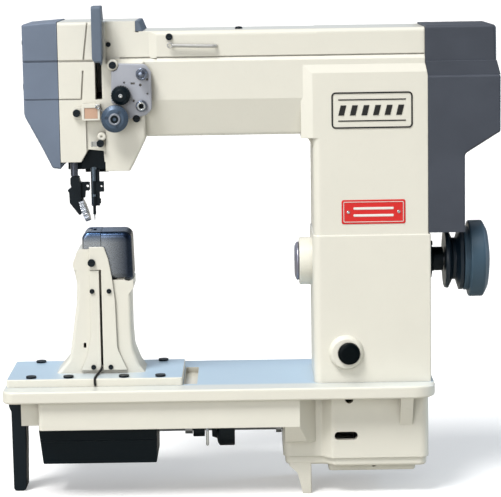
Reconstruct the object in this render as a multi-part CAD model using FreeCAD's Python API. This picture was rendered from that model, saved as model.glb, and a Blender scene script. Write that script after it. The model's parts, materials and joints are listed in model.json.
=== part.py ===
import FreeCAD, Part
import math
import os

# Post-bed, roller-feed leather sewing machine head.
# Millimetres. +X runs along the bed towards the handwheel, +Y away from the operator, +Z up.
# The origin lies on the bench, under the middle of the machine's outline.

V = FreeCAD.Vector

# ---- fits ----
FIXED_GAP = 0.02          # radial gap of a fixed part in its seat
RUN_GAP = 0.05            # radial gap of a shaft that turns or slides

# ---- bed ----
BED_LEFT, BED_RIGHT = -298.0, 220.0
BED_HALF_DEPTH = 89.0
BED_TOP, BED_LIP_BOTTOM = 140.0, 125.0
SKIRT_BOTTOM = 91.0
SKIRT_HALF_DEPTH = 81.0
SKIRT_LEFT = -256.0
HOUSING_BOTTOM = 47.0
HOUSING_X = (37.0, 213.0)
HOUSING_HALF_DEPTH = 62.0
HOUSING_STEP_X = 88.0     # left of here the housing is narrower
HOUSING_LEFT_HALF_DEPTH = 50.0
HINGE_SOCKET_X = 150.0
HINGE_SOCKET_RADIUS = 5.0
HINGE_SOCKET_DEPTH = 18.0

# ---- column and arm ----
FRONT = -60.0
ARM_FRONT = -56.0
BAND_FRONT = -53.0         # the arm's upper band
HEAD_BAND_FRONT = -49.0    # the head's upper part, right of the guard
COLUMN_LEFT, COLUMN_RIGHT = 77.0, 213.0
COLUMN_BACK = 60.0
COLUMN_STEP_Z = 319.0
ARM_TOP, ARM_BOTTOM = 564.0, 439.0
ARM_BACK = 54.0
BAND_Z = 529.0            # step between the arm's upper band and its face
CHINE_Z = 483.0           # edge below which the arm's face slopes back
COLUMN_SLOPE_Z = 512.0    # edge above which the column's face slopes back to the band
COLUMN_FLANK_X = (63.0, 77.0)
WALL = 9.0

# ---- head ----
HEAD_LEFT, HEAD_RIGHT = -222.0, -121.0
HEAD_TOP = 576.0
HEAD_FLOOR_Z = (411.0, 428.0)
HEAD_CAVITY_RIGHT = -138.0
HEAD_CAVITY_TOP = 568.0
HEAD_CAVITY_Y = (-44.0, 44.0)
HEAD_RECESS_X = (-166.0, -115.0, -106.0)

# ---- shafts ----
MAIN_Z = 280.0
ARM_SHAFT_Z = 520.0
LOWER_Z = 77.0
MAIN_RADIUS = 8.0
ARM_SHAFT_RADIUS = 8.0
LOWER_RADIUS = 7.5
HOOK_X = -168.5
HOOK_SHAFT_RADIUS = 6.0
BEARING_OUTER = 17.0
BUSH_OUTER = 12.0

# ---- timing belts and pulleys ----
PULLEY_TEETH = 24
PULLEY_RADIUS = 26.0
UPPER_BELT_X = (168.0, 184.0)
LOWER_BELT_X = (128.0, 144.0)
BELT_THICKNESS = 2.6
BELT_CLEARANCE = 0.3

# ---- needle drive ----
CRANK_RADIUS = 18.0
CRANK_X = (-160.0, -148.0)
LINK_LENGTH = 45.0
LINK_X = (-167.5, -162.5)
NEEDLE_X = -188.0
NEEDLE_BAR_RADIUS = 3.6
NEEDLE_BAR_Z = (351.5, 550.0)
NEEDLE_TIP_Z = 331.0
NEEDLE_RADIUS = 0.8
NEEDLE_PIN_Z = 486.0
FRAME_PIVOT = (10.0, 556.0)

# ---- take-up ----
TAKE_UP_PIVOT = (34.0, 524.0)
TAKE_UP_LENGTH = 106.0
TAKE_UP_ANGLE = 13.0
TAKE_UP_X = (-177.5, -172.0)
GUARD_X = (-180.4, -169.0)
GUARD_FRONT = -82.0

# ---- presser ----
PRESSER_X = -211.5
PRESSER_BAR_RADIUS = 4.5
ROLLER_CENTRE = (-199.8, 346.5)
ROLLER_RADIUS = 14.0
ROLLER_WIDTH = 6.0
ROLLER_TILT = 19.0        # lean of the roller's plane from the vertical
LIFT_SHAFT = (-195.0, 464.0)

# ---- post ----
POST_PLATE_X = (-295.0, -83.0)
POST_PLATE_Y = (-62.0, 52.0)
POST_PLATE_TOP = 149.6
POST_COVER_BOTTOM = 153.4
POST_HALF_DEPTH = 27.0
POST_SEAT_Z = 264.0
POST_LEFT_TOP = 302.0
THROAT_Z = 322.5
COVER_Y = (-31.0, -27.2)
COVER_RIGHT = -141.5
COVER_HINGE = (-147.5, 269.5)
COVER_SWEEP = 7.3         # room for the cover's lower corner as it opens
FEED_RADIUS = 17.0
FEED_Z = THROAT_Z + 0.4 - FEED_RADIUS
FEED_X = (-197.5, -192.0)

# ---- hook ----
HOOK_RADIUS = 17.5
HOOK_Z = (292.0, 316.0)
BEVEL_GEAR_TEETH = 24
BEVEL_PINION_TEETH = 12
BEVEL_MODULE = 2.0
BEVEL_FACE = 8.0

# ---- thread tension ----
PLATE_FRONT = -69.0
DIAL_CENTRE = (-155.5, 463.5)
DIAL_RADIUS = 16.0
KNOB_CENTRE = (-148.0, 490.5)
KNOB_RADIUS = 11.4
PLATE_SCREW = (-157.5, 525.5)
PLATE_BOSS_RADIUS = 6.6
CLIP_BOSS = (-172.7, 441.5)
STUD_RADIUS = 3.0

# ---- stitch-length button ----
BUTTON_CENTRE = (117.0, 177.0)
BUTTON_RADIUS = 13.0


# ---------------------------------------------------------------- helpers

def box(x, y, z):
    """A block between three (low, high) pairs."""
    return Part.makeBox(x[1] - x[0], y[1] - y[0], z[1] - z[0], V(x[0], y[0], z[0]))


def rod(start, end, radius):
    """A solid cylinder between two points."""
    a = V(*start)
    b = V(*end)
    return Part.makeCylinder(radius, (b - a).Length, a, b - a)


def rod_x(x, y, z, radius):
    return rod((x[0], y, z), (x[1], y, z), radius)


def rod_y(x, y, z, radius):
    return rod((x, y[0], z), (x, y[1], z), radius)


def rod_z(x, y, z, radius):
    return rod((x, y, z[0]), (x, y, z[1]), radius)


def ring_x(x, z, outer, inner):
    """A ring round the X direction, on the machine's middle plane."""
    return rod_x(x, 0, z, outer).cut(rod_x(x, 0, z, inner))


def corner_arc(before, corner, after, radius):
    """Ends and middle of the arc that rounds one corner of an outline."""
    a = (before - corner).normalize()
    b = (after - corner).normalize()
    half = a.getAngle(b) / 2
    reach = radius / math.tan(half)
    middle = (a + b).normalize()
    centre = corner + middle * (radius / math.sin(half))
    return corner + a * reach, centre - middle * radius, corner + b * reach


def outline_wire(points, place):
    """A closed wire through (u, v) or (u, v, corner radius) points."""
    corners = [place(p[0], p[1]) for p in points]
    radii = [p[2] if len(p) > 2 else 0 for p in points]
    edges = []
    stops = []
    for i, corner in enumerate(corners):
        if radii[i] > 0:
            after = corners[(i + 1) % len(corners)]
            start, middle, end = corner_arc(corners[i - 1], corner, after, radii[i])
            edges.append(Part.Arc(start, middle, end).toShape())
            stops.append((start, end))
        else:
            stops.append((corner, corner))
    for i, stop in enumerate(stops):
        nxt = stops[(i + 1) % len(stops)][0]
        if (nxt - stop[1]).Length > 1e-6:
            edges.append(Part.makeLine(stop[1], nxt))
    return Part.Wire(Part.__sortEdges__(edges))


def prism_x(points, x):
    """An outline in Y and Z, extruded along X."""
    wire = outline_wire(points, lambda u, v: V(x[0], u, v))
    return Part.Face(wire).extrude(V(x[1] - x[0], 0, 0))


def prism_y(points, y):
    """An outline in X and Z, extruded along Y."""
    wire = outline_wire(points, lambda u, v: V(u, y[0], v))
    return Part.Face(wire).extrude(V(0, y[1] - y[0], 0))


def prism_z(points, z):
    """An outline in X and Y, extruded along Z."""
    wire = outline_wire(points, lambda u, v: V(u, v, z[0]))
    return Part.Face(wire).extrude(V(0, 0, z[1] - z[0]))


def rectangle(u, v, radius=0):
    """The four corners of a rectangle, rounded when a radius is given."""
    return [(u[0], v[0], radius), (u[1], v[0], radius), (u[1], v[1], radius), (u[0], v[1], radius)]


def turned_x(points, z):
    """A (x, radius) outline turned round the X direction at height z."""
    wire = outline_wire(points, lambda u, v: V(u, 0, z + v))
    return Part.Face(wire).revolve(V(0, 0, z), V(1, 0, 0), 360)


def turned_y(points, x, z):
    """A (y, radius) outline turned round the Y direction through (x, z)."""
    wire = outline_wire(points, lambda u, v: V(x + v, u, z))
    return Part.Face(wire).revolve(V(x, 0, z), V(0, 1, 0), 360)


def turned_z(points, x, y=0):
    """A (radius, z) outline turned round the Z direction through (x, y)."""
    wire = outline_wire(points, lambda u, v: V(x + u, y, v))
    return Part.Face(wire).revolve(V(x, y, 0), V(0, 0, 1), 360)


def soften(shape, radius, wanted):
    """Fillet the edges whose bounding box passes a test."""
    edges = [e for e in shape.Edges if wanted(e.BoundBox)]
    return shape.makeFillet(radius, edges)


def is_vertical(b):
    return b.ZLength > 1 and b.XLength < 0.01 and b.YLength < 0.01


def join(shapes):
    """One solid out of touching or crossing solids."""
    return shapes[0].multiFuse(shapes[1:]).removeSplitter()


def one_solid(shape):
    """The single solid inside a boolean result."""
    return shape.Solids[0] if len(shape.Solids) == 1 else shape


def circle_points(count, start=0.0):
    """Evenly spaced angles round a full turn, in radians."""
    return [start + 2 * math.pi * i / count for i in range(count)]


def tooth_outline(centre, teeth, tip, root, duty=0.5):
    """A closed (u, v) outline with straight-sided teeth round a circle."""
    points = []
    step = 2 * math.pi / teeth
    for angle in circle_points(teeth):
        for offset, radius in ((-0.5, root), (-duty / 2, tip), (duty / 2, tip)):
            a = angle + offset * step
            points.append((centre[0] + radius * math.cos(a), centre[1] + radius * math.sin(a)))
    return points


# ---------------------------------------------------------------- bed group

def bed_casting():
    """Bed plate with its lip, skirt and the lower housing under the column."""
    lip = prism_z([(BED_LEFT, -BED_HALF_DEPTH, 14), (BED_RIGHT, -BED_HALF_DEPTH, 26),
                   (BED_RIGHT, BED_HALF_DEPTH, 26), (BED_LEFT, BED_HALF_DEPTH, 14)],
                  (BED_LIP_BOTTOM, BED_TOP))
    lip = soften(lip, 2.5, lambda b: b.ZLength < 0.01)
    skirt = box((SKIRT_LEFT, HOUSING_X[0] + 20), (-SKIRT_HALF_DEPTH, SKIRT_HALF_DEPTH),
                (SKIRT_BOTTOM, BED_LIP_BOTTOM))
    skirt = soften(skirt, 5, lambda b: is_vertical(b) and b.XMin < SKIRT_LEFT + 1)
    skirt_well = box((SKIRT_LEFT + WALL, HOUSING_X[0] - 0.5),
                     (-SKIRT_HALF_DEPTH + WALL, SKIRT_HALF_DEPTH - WALL),
                     (SKIRT_BOTTOM - 1, BED_LIP_BOTTOM))
    housing = prism_z(stepped_outline(0, 10), (HOUSING_BOTTOM, BED_LIP_BOTTOM))
    body = join([lip, skirt, housing] + bed_gussets())
    body = body.cut(skirt_well)
    well = prism_z(stepped_outline(WALL, 6), (HOUSING_BOTTOM - 1, BED_LIP_BOTTOM - 8))
    belt_window = box((96, 200), (-44, 44), (BED_LIP_BOTTOM - 9, BED_TOP + 1))
    post_window = box((-204, -124), (-40, 40), (BED_LIP_BOTTOM - 1, BED_TOP + 1))
    pocket = prism_z(rectangle((-82, -66), (-55, 46), 2), (BED_TOP - 7, BED_TOP + 1))
    cover_notch = box((SKIRT_LEFT - 6, SKIRT_LEFT + WALL + 1), (-43, 43),
                      (SKIRT_BOTTOM - 1, BED_LIP_BOTTOM))
    shaft_hole = rod_x((HOUSING_X[0] - 5, 50), 0, LOWER_Z, BUSH_OUTER)
    slot = join([box((104, 122), (-70, -40), (69.5, 79.5)),
                 rod_y(104, (-70, -40), 74.5, 5), rod_y(122, (-70, -40), 74.5, 5)])
    upper_hole = rod_y(117, (-70, -40), 119.5, 5)
    body = body.cut([well, belt_window, post_window, pocket, cover_notch, shaft_hole, slot, upper_hole])
    for x in (-HINGE_SOCKET_X, HINGE_SOCKET_X):
        socket = rod_y(x, (BED_HALF_DEPTH - HINGE_SOCKET_DEPTH, BED_HALF_DEPTH + 1),
                       (BED_TOP + BED_LIP_BOTTOM) / 2, HINGE_SOCKET_RADIUS)
        body = body.cut(socket)
    return one_solid(body)


def stepped_outline(inset, corner):
    """Outline of the lower housing in X and Y, drawn in by an inset."""
    left, right = HOUSING_X[0] + inset, HOUSING_X[1] - inset
    wide = HOUSING_HALF_DEPTH - inset
    slim = HOUSING_LEFT_HALF_DEPTH - inset
    near, far = HOUSING_STEP_X - 4 + inset, HOUSING_STEP_X + 8 + inset
    return [(left, -slim, corner), (near, -slim, 5), (far, -wide, 5), (right, -wide, corner),
            (right, wide, corner), (far, wide, 5), (near, slim, 5), (left, slim, corner)]


def bed_gussets():
    """Tapered webs between the skirt and the lower housing, and the lug for the leg."""
    top = BED_LIP_BOTTOM
    lug = box((-278, -254), (-66, -30), (94, top))
    parts = [lug]
    step = HOUSING_X[0] + 20
    for side in (-1, 1):
        deep = side * SKIRT_HALF_DEPTH
        inner = side * (HOUSING_LEFT_HALF_DEPTH - 4)
        profile = [(deep, top), (deep, SKIRT_BOTTOM), (side * 67, 70), (side * 56, 66), (inner, 66),
                   (inner, top)]
        left = prism_x(profile, (HOUSING_X[0] + 2, step))
        wedge = prism_z([(step - 1, deep), (step, deep), (step + 22, inner), (step - 1, inner)], (60, top))
        wedge = wedge.common(prism_x(profile, (step - 1, step + 30)))
        near = side * (HOUSING_HALF_DEPTH - 4)
        right = prism_x([(deep, top), (side * 76, top - 14), (near, 80), (near, top)], (178, 193))
        parts += [left, wedge, right]
    return parts


def base_cover():
    """Casting that closes the lower housing and carries the machine's feet."""
    plate = prism_z(stepped_outline(2.5, 9), (36, HOUSING_BOTTOM - 0.4))
    plate = soften(plate, 4, lambda b: b.ZLength < 0.01 and b.ZMax < 37)
    pad = prism_z(rectangle((92, 198), (-44, 44), 5), (27, 36))
    pad = soften(pad, 2.5, lambda b: b.ZLength < 0.01 and b.ZMax < 28)
    body = join([plate, pad] + [foot(side) for side in (-1, 1)])
    return one_solid(body.cut(rod_y(147, (-46, -30), 34, 2.6)))


def foot(side):
    """A tapered foot at the left end of the base cover."""
    low = sorted((side * 33, side * 47))
    shape = prism_y([(44, 38), (44, 35), (54, 26, 8), (60.5, 0), (71, 0), (71, 38)], low)
    return soften(shape, 1.5, is_vertical)


def support_leg():
    """The tapered leg that carries the bed's left end."""
    points = [(-278.3, BED_LIP_BOTTOM), (-295, BED_LIP_BOTTOM), (-299, 107, 0.8), (-296, 100, 2),
              (-295.5, 0, 4), (-280, 0, 5), (-278.3, 60, 20)]
    leg = prism_y(points, (-15, 15))
    return soften(leg, 1.2, lambda b: b.YLength < 0.01 and b.XMax < -279 and b.ZLength > 20)


def gear_cover():
    """Sheet box under the bed that hides the bevel gears."""
    outer = prism_y([(-260, BED_LIP_BOTTOM), (-260, 80), (-255.5, 40, 2), (-117, 40, 2),
                     (-116, BED_LIP_BOTTOM)], (-40, 40))
    inner = prism_y([(-257.5, BED_LIP_BOTTOM + 1), (-257.5, 80), (-253.4, 42.2), (-119.3, 42.2),
                     (-118.3, BED_LIP_BOTTOM + 1)], (-37.8, 37.8))
    bead = rod_x((-256, -119), -40, 68, 0.8)
    body = join([outer, bead]).cut(inner)
    shaft_hole = rod_x((-122, -110), 0, LOWER_Z, LOWER_RADIUS + 3)
    return one_solid(body.cut(shaft_hole))


def shaft_block():
    """Hanging bearing block for the lower shaft."""
    block = prism_x([(-15, BED_LIP_BOTTOM), (-15, 70, 5), (-10, 64, 5), (10, 64, 5), (15, 70, 5),
                     (15, BED_LIP_BOTTOM)], (-73, -59))
    return one_solid(block.cut(rod_x((-80, -50), 0, LOWER_Z, LOWER_RADIUS + RUN_GAP)))


# ---------------------------------------------------------------- arm casting

def arm_section():
    """Cross-section of the arm in Y and Z."""
    return [(BAND_FRONT, ARM_TOP, 6), (BAND_FRONT, BAND_Z + 3), (ARM_FRONT, BAND_Z - 1),
            (ARM_FRONT, CHINE_Z, 3), (ARM_FRONT + 12, ARM_BOTTOM, 5), (ARM_BACK - 8, ARM_BOTTOM, 5),
            (ARM_BACK, CHINE_Z, 6), (ARM_BACK, ARM_TOP, 8)]


def head_block():
    """Outer shape of the needle head."""
    points = [(HEAD_LEFT, HEAD_TOP), (-131, HEAD_TOP), (-131, ARM_TOP - 1), (HEAD_RIGHT, ARM_TOP - 2),
              (HEAD_RIGHT, ARM_BOTTOM, 4), (-128, 424), (-140, 400), (HEAD_LEFT, 400)]
    block = prism_y(points, (FRONT, ARM_BACK))
    block = soften(block, 4, lambda b: b.XLength > 80 and b.ZMin > HEAD_TOP - 1)
    block = soften(block, 3, lambda b: b.YMax < FRONT + 0.1 and b.XMin > -141 and b.ZMax < 425
                   and b.XLength > 5 and b.ZLength > 5)
    under = box((HEAD_LEFT - 1, -169), (FRONT - 1, ARM_BACK + 1), (390, HEAD_FLOOR_Z[0]))
    return block.cut(under)


def head_recess():
    """The head's upper front, right of the guard, stands back and slopes out to the arm's band."""
    left, middle, right = HEAD_RECESS_X
    face = prism_z([(left, FRONT - 1), (left, HEAD_BAND_FRONT), (middle, HEAD_BAND_FRONT),
                    (right, BAND_FRONT), (right, FRONT - 1)], (BAND_Z + 3, HEAD_TOP + 1))
    step = prism_x([(FRONT - 1, BAND_Z - 2), (FRONT, BAND_Z - 2), (HEAD_BAND_FRONT, BAND_Z + 3.1),
                    (FRONT - 1, BAND_Z + 3.1)], (left, right))
    return [face, step]


def column_block():
    """Outer shape of the column, a little stouter below its step."""
    upper = prism_y([(COLUMN_LEFT, COLUMN_STEP_Z - 2), (COLUMN_RIGHT, COLUMN_STEP_Z - 2),
                     (COLUMN_RIGHT, 507), (COLUMN_RIGHT - 3, 524), (COLUMN_RIGHT - 3, BAND_Z + 3),
                     (COLUMN_LEFT, BAND_Z + 3)], (FRONT, COLUMN_BACK))
    upper = soften(upper, 8, lambda b: is_vertical(b) and b.XMax < COLUMN_LEFT + 1)
    flank = prism_z([(COLUMN_FLANK_X[0], ARM_FRONT + 1), (COLUMN_FLANK_X[1], FRONT),
                     (COLUMN_FLANK_X[1] + 10, FRONT), (COLUMN_FLANK_X[1] + 10, 0),
                     (COLUMN_FLANK_X[0], 0)], (ARM_BOTTOM - 4, BAND_Z + 3))
    slope = prism_x([(FRONT, COLUMN_SLOPE_Z), (BAND_FRONT, BAND_Z), (BAND_FRONT, BAND_Z + 10),
                     (FRONT - 5, BAND_Z + 10), (FRONT - 5, COLUMN_SLOPE_Z)], (50, COLUMN_RIGHT + 1))
    upper = join([upper, flank]).cut(slope)
    lower = box((COLUMN_LEFT - 1.5, COLUMN_RIGHT + 3), (FRONT - 1.5, COLUMN_BACK + 1),
                (BED_TOP, COLUMN_STEP_Z))
    lower = soften(lower, 9, lambda b: is_vertical(b) and b.XMax < COLUMN_LEFT + 1)
    lower = soften(lower, 2, lambda b: is_vertical(b) and b.XMin > COLUMN_RIGHT)
    lower = soften(lower, 1.4, lambda b: b.ZLength < 0.01 and b.ZMin > COLUMN_STEP_Z - 1)
    top = box((COLUMN_LEFT + 6, COLUMN_RIGHT - 3), (BAND_FRONT, COLUMN_BACK), (BAND_Z - 3, ARM_TOP))
    top = soften(top, 5, lambda b: b.XLength > 50 and b.ZMin > ARM_TOP - 1)
    return [upper, lower, top]


def arm_root():
    """The curved web under the arm where it runs into the column."""
    reach = 16.0
    points = [(COLUMN_LEFT - reach, ARM_BOTTOM + 1), (COLUMN_LEFT - 5, ARM_BOTTOM - 5, 12),
              (COLUMN_LEFT + 1, ARM_BOTTOM - reach - 4), (COLUMN_LEFT + 20, ARM_BOTTOM - reach),
              (COLUMN_LEFT + 20, ARM_BOTTOM + 1)]
    return prism_y(points, (ARM_FRONT + 12, ARM_BACK - 8))


def arm_grooves():
    """Panel lines cut into the front of the head and along the foot of the upper band."""
    y = (FRONT - 1, FRONT + 2.2)
    half = 0.9
    lines = [((-186.5, HEAD_TOP), (-192, BAND_Z + 3)), ((-193, BAND_Z - 10), (-195.5, 486))]
    cuts = []
    for (x0, z0), (x1, z1) in lines:
        cuts.append(prism_y([(x0 - half, z0), (x0 + half, z0), (x1 + half, z1), (x1 - half, z1)], y))
    for z, right, thick in ((BAND_Z + 1.5, GUARD_X[0], 1.2), (485.5, -195, 0.8)):
        cuts.append(box((HEAD_LEFT - 1, right), y, (z - thick, z + thick)))
    cuts.append(box((HEAD_RECESS_X[2], COLUMN_RIGHT - 4), (BAND_FRONT - 1, BAND_FRONT + 2),
                    (BAND_Z + 3, BAND_Z + 4.6)))
    cuts.append(box((-150, HEAD_RECESS_X[1] + 1), (HEAD_BAND_FRONT - 1, HEAD_BAND_FRONT + 2),
                    (BAND_Z + 3, BAND_Z + 4.6)))
    cuts.append(prism_y([(-191, 421), (-191, 461), (-187, 464), (-168, 464), (-168, 421)],
                        (FRONT - 1, FRONT + 2.5)))
    return cuts


def arm_casting():
    """Column, arm and needle head in one hollow casting."""
    arm = prism_x(arm_section(), (HEAD_RIGHT - 6, COLUMN_RIGHT - 3))
    boss = rod_x((60, COLUMN_LEFT + 1), 0, MAIN_Z, 29)
    boss = soften(boss, 2, lambda b: b.XMax < 60.1)
    button_boss = turned_y([(FRONT + 2, 0), (FRONT + 2, 22.5), (FRONT - 9, 18, 2), (FRONT - 9, 0)],
                           BUTTON_CENTRE[0] - 3, BUTTON_CENTRE[1])
    web_right = box((196, COLUMN_RIGHT - 3), (-30, 30), (490, 556))
    solids = [arm, head_block(), boss, button_boss, arm_root()] + column_block()
    body = join(solids).cut(head_recess() + casting_hollows())
    body = join([body.cut(arm_grooves()), web_right] + head_lugs() + front_bosses())
    body = body.cut(casting_bores())
    return one_solid(body)


def front_bosses():
    """Bosses on the head's front for the tension plate's screw and the thread clip."""
    plate = turned_y([(HEAD_CAVITY_Y[0] - 2, 0), (HEAD_CAVITY_Y[0] - 2, PLATE_BOSS_RADIUS),
                      (PLATE_FRONT + 1, PLATE_BOSS_RADIUS, 1.5), (PLATE_FRONT + 1, 0)], *PLATE_SCREW)
    clip = turned_y([(FRONT + 4, 0), (FRONT + 4, 5.2), (-64.5, 5, 1.2), (-64.5, 1.4), (-63, 1.2),
                     (-63, 0)], *CLIP_BOSS)
    return [plate, clip]


def casting_hollows():
    """Open spaces inside the column, the arm and the head."""
    column = box((COLUMN_LEFT + WALL, COLUMN_RIGHT - 8), (FRONT + WALL + 2, COLUMN_BACK - WALL),
                 (BED_TOP - 1, ARM_TOP - 12))
    side_door = box((COLUMN_RIGHT - 9, COLUMN_RIGHT + 5), (FRONT + 11, COLUMN_BACK - WALL),
                    (COLUMN_STEP_Z + 12, ARM_TOP - 12))
    tunnel = box((-118, COLUMN_LEFT + 20), (FRONT + 15, ARM_BACK - 18), (452, ARM_TOP - 12))
    head = box((HEAD_LEFT - 1, HEAD_CAVITY_RIGHT), HEAD_CAVITY_Y, (HEAD_FLOOR_Z[1], HEAD_CAVITY_TOP))
    chute = prism_y([(-202, 399), (-202, 429), (-171, 429), (-169.2, 399)], (-30, 30))
    mouth = prism_y([(-199.5, 399), (-197.5, 412), (-189, 426), (-171, 424), (-169.2, 399)],
                    (FRONT - 1, -20))
    slot = box((-179, -171), (FRONT - 1, HEAD_CAVITY_Y[0] + 1), (485, 572))
    return [column, side_door, tunnel, head, chute, mouth, slot]


def head_lugs():
    """Lugs that carry the needle frame's pivot, and the take-up pin's boss."""
    y, z = FRAME_PIVOT
    lugs = [box(x, (y - 7, y + 7), (z - 7, HEAD_CAVITY_TOP + 1)) for x in ((-204, -199), (-181, -178.5))]
    boss = rod_x((-146, HEAD_CAVITY_RIGHT + 1), TAKE_UP_PIVOT[0], TAKE_UP_PIVOT[1], 6)
    return lugs + [boss]


def casting_bores():
    """Bores for shafts, bushes, bars and the button's stem."""
    bearing_left = rod_x((59, COLUMN_LEFT + 20), 0, MAIN_Z, BEARING_OUTER)
    bearing_right = rod_x((COLUMN_RIGHT - 20, COLUMN_RIGHT + 5), 0, MAIN_Z, BEARING_OUTER)
    bush_left = rod_x((HEAD_CAVITY_RIGHT - 1, -117), 0, ARM_SHAFT_Z, BUSH_OUTER)
    bush_right = rod_x((190, COLUMN_RIGHT), 0, ARM_SHAFT_Z, BUSH_OUTER)
    take_up = rod_x((-150, -126), TAKE_UP_PIVOT[0], TAKE_UP_PIVOT[1], 3.5 + FIXED_GAP)
    pivot = rod_x((-210, -176), FRAME_PIVOT[0], FRAME_PIVOT[1], 3.5 + RUN_GAP)
    presser = rod_z(PRESSER_X, 0, (390, 440), PRESSER_BAR_RADIUS + RUN_GAP)
    lift = rod_y(LIFT_SHAFT[0], (30, ARM_BACK + 5), LIFT_SHAFT[1], 5 + RUN_GAP)
    well = rod_y(BUTTON_CENTRE[0], (FRONT - 12, FRONT - 1), BUTTON_CENTRE[1], BUTTON_RADIUS + 0.3)
    stem = rod_y(BUTTON_CENTRE[0], (FRONT - 5, FRONT + 20), BUTTON_CENTRE[1], 5 + RUN_GAP)
    oil = rod_z(-9, -20, (ARM_TOP - 20, ARM_TOP + 5), 3)
    return [bearing_left, bearing_right, bush_left, bush_right, take_up, pivot, presser, lift, well,
            stem, oil]


def face_cover():
    """Shell that closes the left end of the head."""
    points = [(-264, 574, 2), (-264, 467, 20), (-243, 427), (-232, 404, 5), (-222.6, 403),
              (-222.6, 577)]
    shell = prism_y(points, (FRONT + 1, ARM_BACK - 1))
    shell = soften(shell, 2.5, lambda b: b.XMax < -229 and b.YLength < 0.01 and b.ZLength > 40)
    inner = prism_y([(-259.5, 569), (-259.5, 468), (-240, 430), (-229, 408), (-222, 408),
                     (-222, 569)], (FRONT + 6, ARM_BACK - 6))
    grooves = [box((-270, -215), (FRONT, FRONT + 3.2), (BAND_Z + 0.3, BAND_Z + 2.7)),
               box((-270, -215), (FRONT, FRONT + 2.4), (484.8, 486.4))]
    return one_solid(shell.cut([inner] + grooves))


def rear_cover():
    """Shell over the column's right side, with the bulge for the shaft end."""
    upper = [(210.4, 566), (294, 566, 5), (294.5, 524), (210.4, 524)]
    lower = [(213.3, 507), (299, 507, 2), (299, 440, 3), (257, 414, 6), (257, COLUMN_STEP_Z + 1.5),
             (213.3, COLUMN_STEP_Z + 1.5)]
    band = [(210.4, 524), (294.5, 524), (299, 507), (213.3, 507)]
    parts = [prism_y(upper, (FRONT + 3, COLUMN_BACK - 3)), prism_y(lower, (FRONT - 1, COLUMN_BACK)),
             prism_y(band, (FRONT + 1.5, COLUMN_BACK - 2))]
    parts[0] = soften(parts[0], 4, lambda b: b.XLength > 50 and b.ZMin > 565)
    parts[1] = soften(parts[1], 2.5, lambda b: b.YLength < 0.01 and b.XMin > 256)
    inner = [prism_y([(205, 561), (290, 561), (290.5, 522), (205, 522)], (FRONT + 8, COLUMN_BACK - 8)),
             prism_y([(205, 523), (290.5, 523), (295, 507), (295, 442), (253, 416),
                      (253, COLUMN_STEP_Z + 6), (205, COLUMN_STEP_Z + 6)],
                     (FRONT + 5, COLUMN_BACK - 5))]
    clear = box((200, 213.3), (-70, 70), (300, 507))
    return one_solid(join(parts).cut(inner + [clear, box((200, 210.4), (-70, 70), (500, 570))]))


# ---------------------------------------------------------------- post group

def post_casting():
    """Base plate and hollow post."""
    plate = prism_z(rectangle(POST_PLATE_X, POST_PLATE_Y, 3), (BED_TOP, POST_PLATE_TOP))
    plate = soften(plate, 1.2, lambda b: b.ZLength < 0.01 and b.ZMin > POST_PLATE_TOP - 1)
    stem = [(-180, POST_SEAT_Z), (-180, 277), (-213.2, 277), (-209.8, 260, 25), (-211, 236, 30),
            (-217, 195, 60), (-221, 168, 20), (-238, POST_PLATE_TOP - 1), (-129, POST_PLATE_TOP - 1),
            (-136, 158, 12), (-143.5, 178, 25), (-145, 204, 40), (-145, 249), (-141.5, 254),
            (-141.5, POST_SEAT_Z)]
    body = prism_y(stem, (-POST_HALF_DEPTH, POST_HALF_DEPTH))
    body = soften(body, 4, lambda b: b.YLength < 0.01 and b.ZMin > 160 and b.ZLength > 30)
    shoulder = prism_y([(-213, 276), (-214.6, 284, 14), (-208, POST_LEFT_TOP, 6),
                        (-180, POST_LEFT_TOP), (-180, 276)], (-POST_HALF_DEPTH, POST_HALF_DEPTH))
    flare = prism_x([(0, POST_PLATE_TOP - 1), (0, 178), (27, 178), (31, 154, 8),
                     (42, POST_PLATE_TOP - 1)], (-212, -146))
    lug = box((-201, -198.5), (-6, 6), (POST_LEFT_TOP - 1, 311))
    body = body.cut(rod_y(COVER_HINGE[0], (-30, 30), COVER_HINGE[1], COVER_SWEEP))
    solids = [plate, body, shoulder, flare, lug] + cover_lugs()
    return one_solid(join(solids).cut(post_hollows()))


def cover_lugs():
    """Two lugs on the post's shoulder that carry the hook cover's hinge."""
    x, z = COVER_HINGE
    lugs = []
    for side in (-1, 1):
        low = sorted((side * 17, side * 20.5))
        arm = prism_y([(x - 2, z + 2.5), (x - 16, z - 6), (x - 16, z - 12), (x - 10, z - 12),
                       (x - 2.2, z - 1.9)], low)
        lugs += [arm, rod_y(x, low, z, 2.8)]
    return lugs


def post_hollows():
    """Cavity, hook well, shaft bores and the slit behind the cover plates."""
    cavity = prism_z(rectangle((-205, -152), (-21, 21), 4), (POST_PLATE_TOP + 8, 246))
    bush = rod_z(HOOK_X, 0, (120, 290), HOOK_SHAFT_RADIUS + RUN_GAP)
    below = rod_z(HOOK_X, 0, (130, POST_PLATE_TOP - 2), 20)
    hook_well = box((-181, -140), (-22, 22), (POST_SEAT_Z + 12, 330))
    feed_well = box((-198.5, -179), (-21, 21), (282, 330))
    axle = rod_x((-205, -190), 0, FEED_Z, 3 + RUN_GAP)
    slit = box((-182.6, -180.2), (-40, -20), (POST_PLATE_TOP + 9, 277))
    side_hole = join([rod_y(-202, (-40, -18), z, 1.6) for z in (182.3, 185.7)]
                     + [box((-203.6, -200.4), (-40, -18), (182.3, 185.7))])
    hinge = rod_y(COVER_HINGE[0], (-30, 30), COVER_HINGE[1], 1.5 + RUN_GAP)
    return [cavity, bush, below, hook_well, feed_well, axle, slit, side_hole, hinge]


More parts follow.
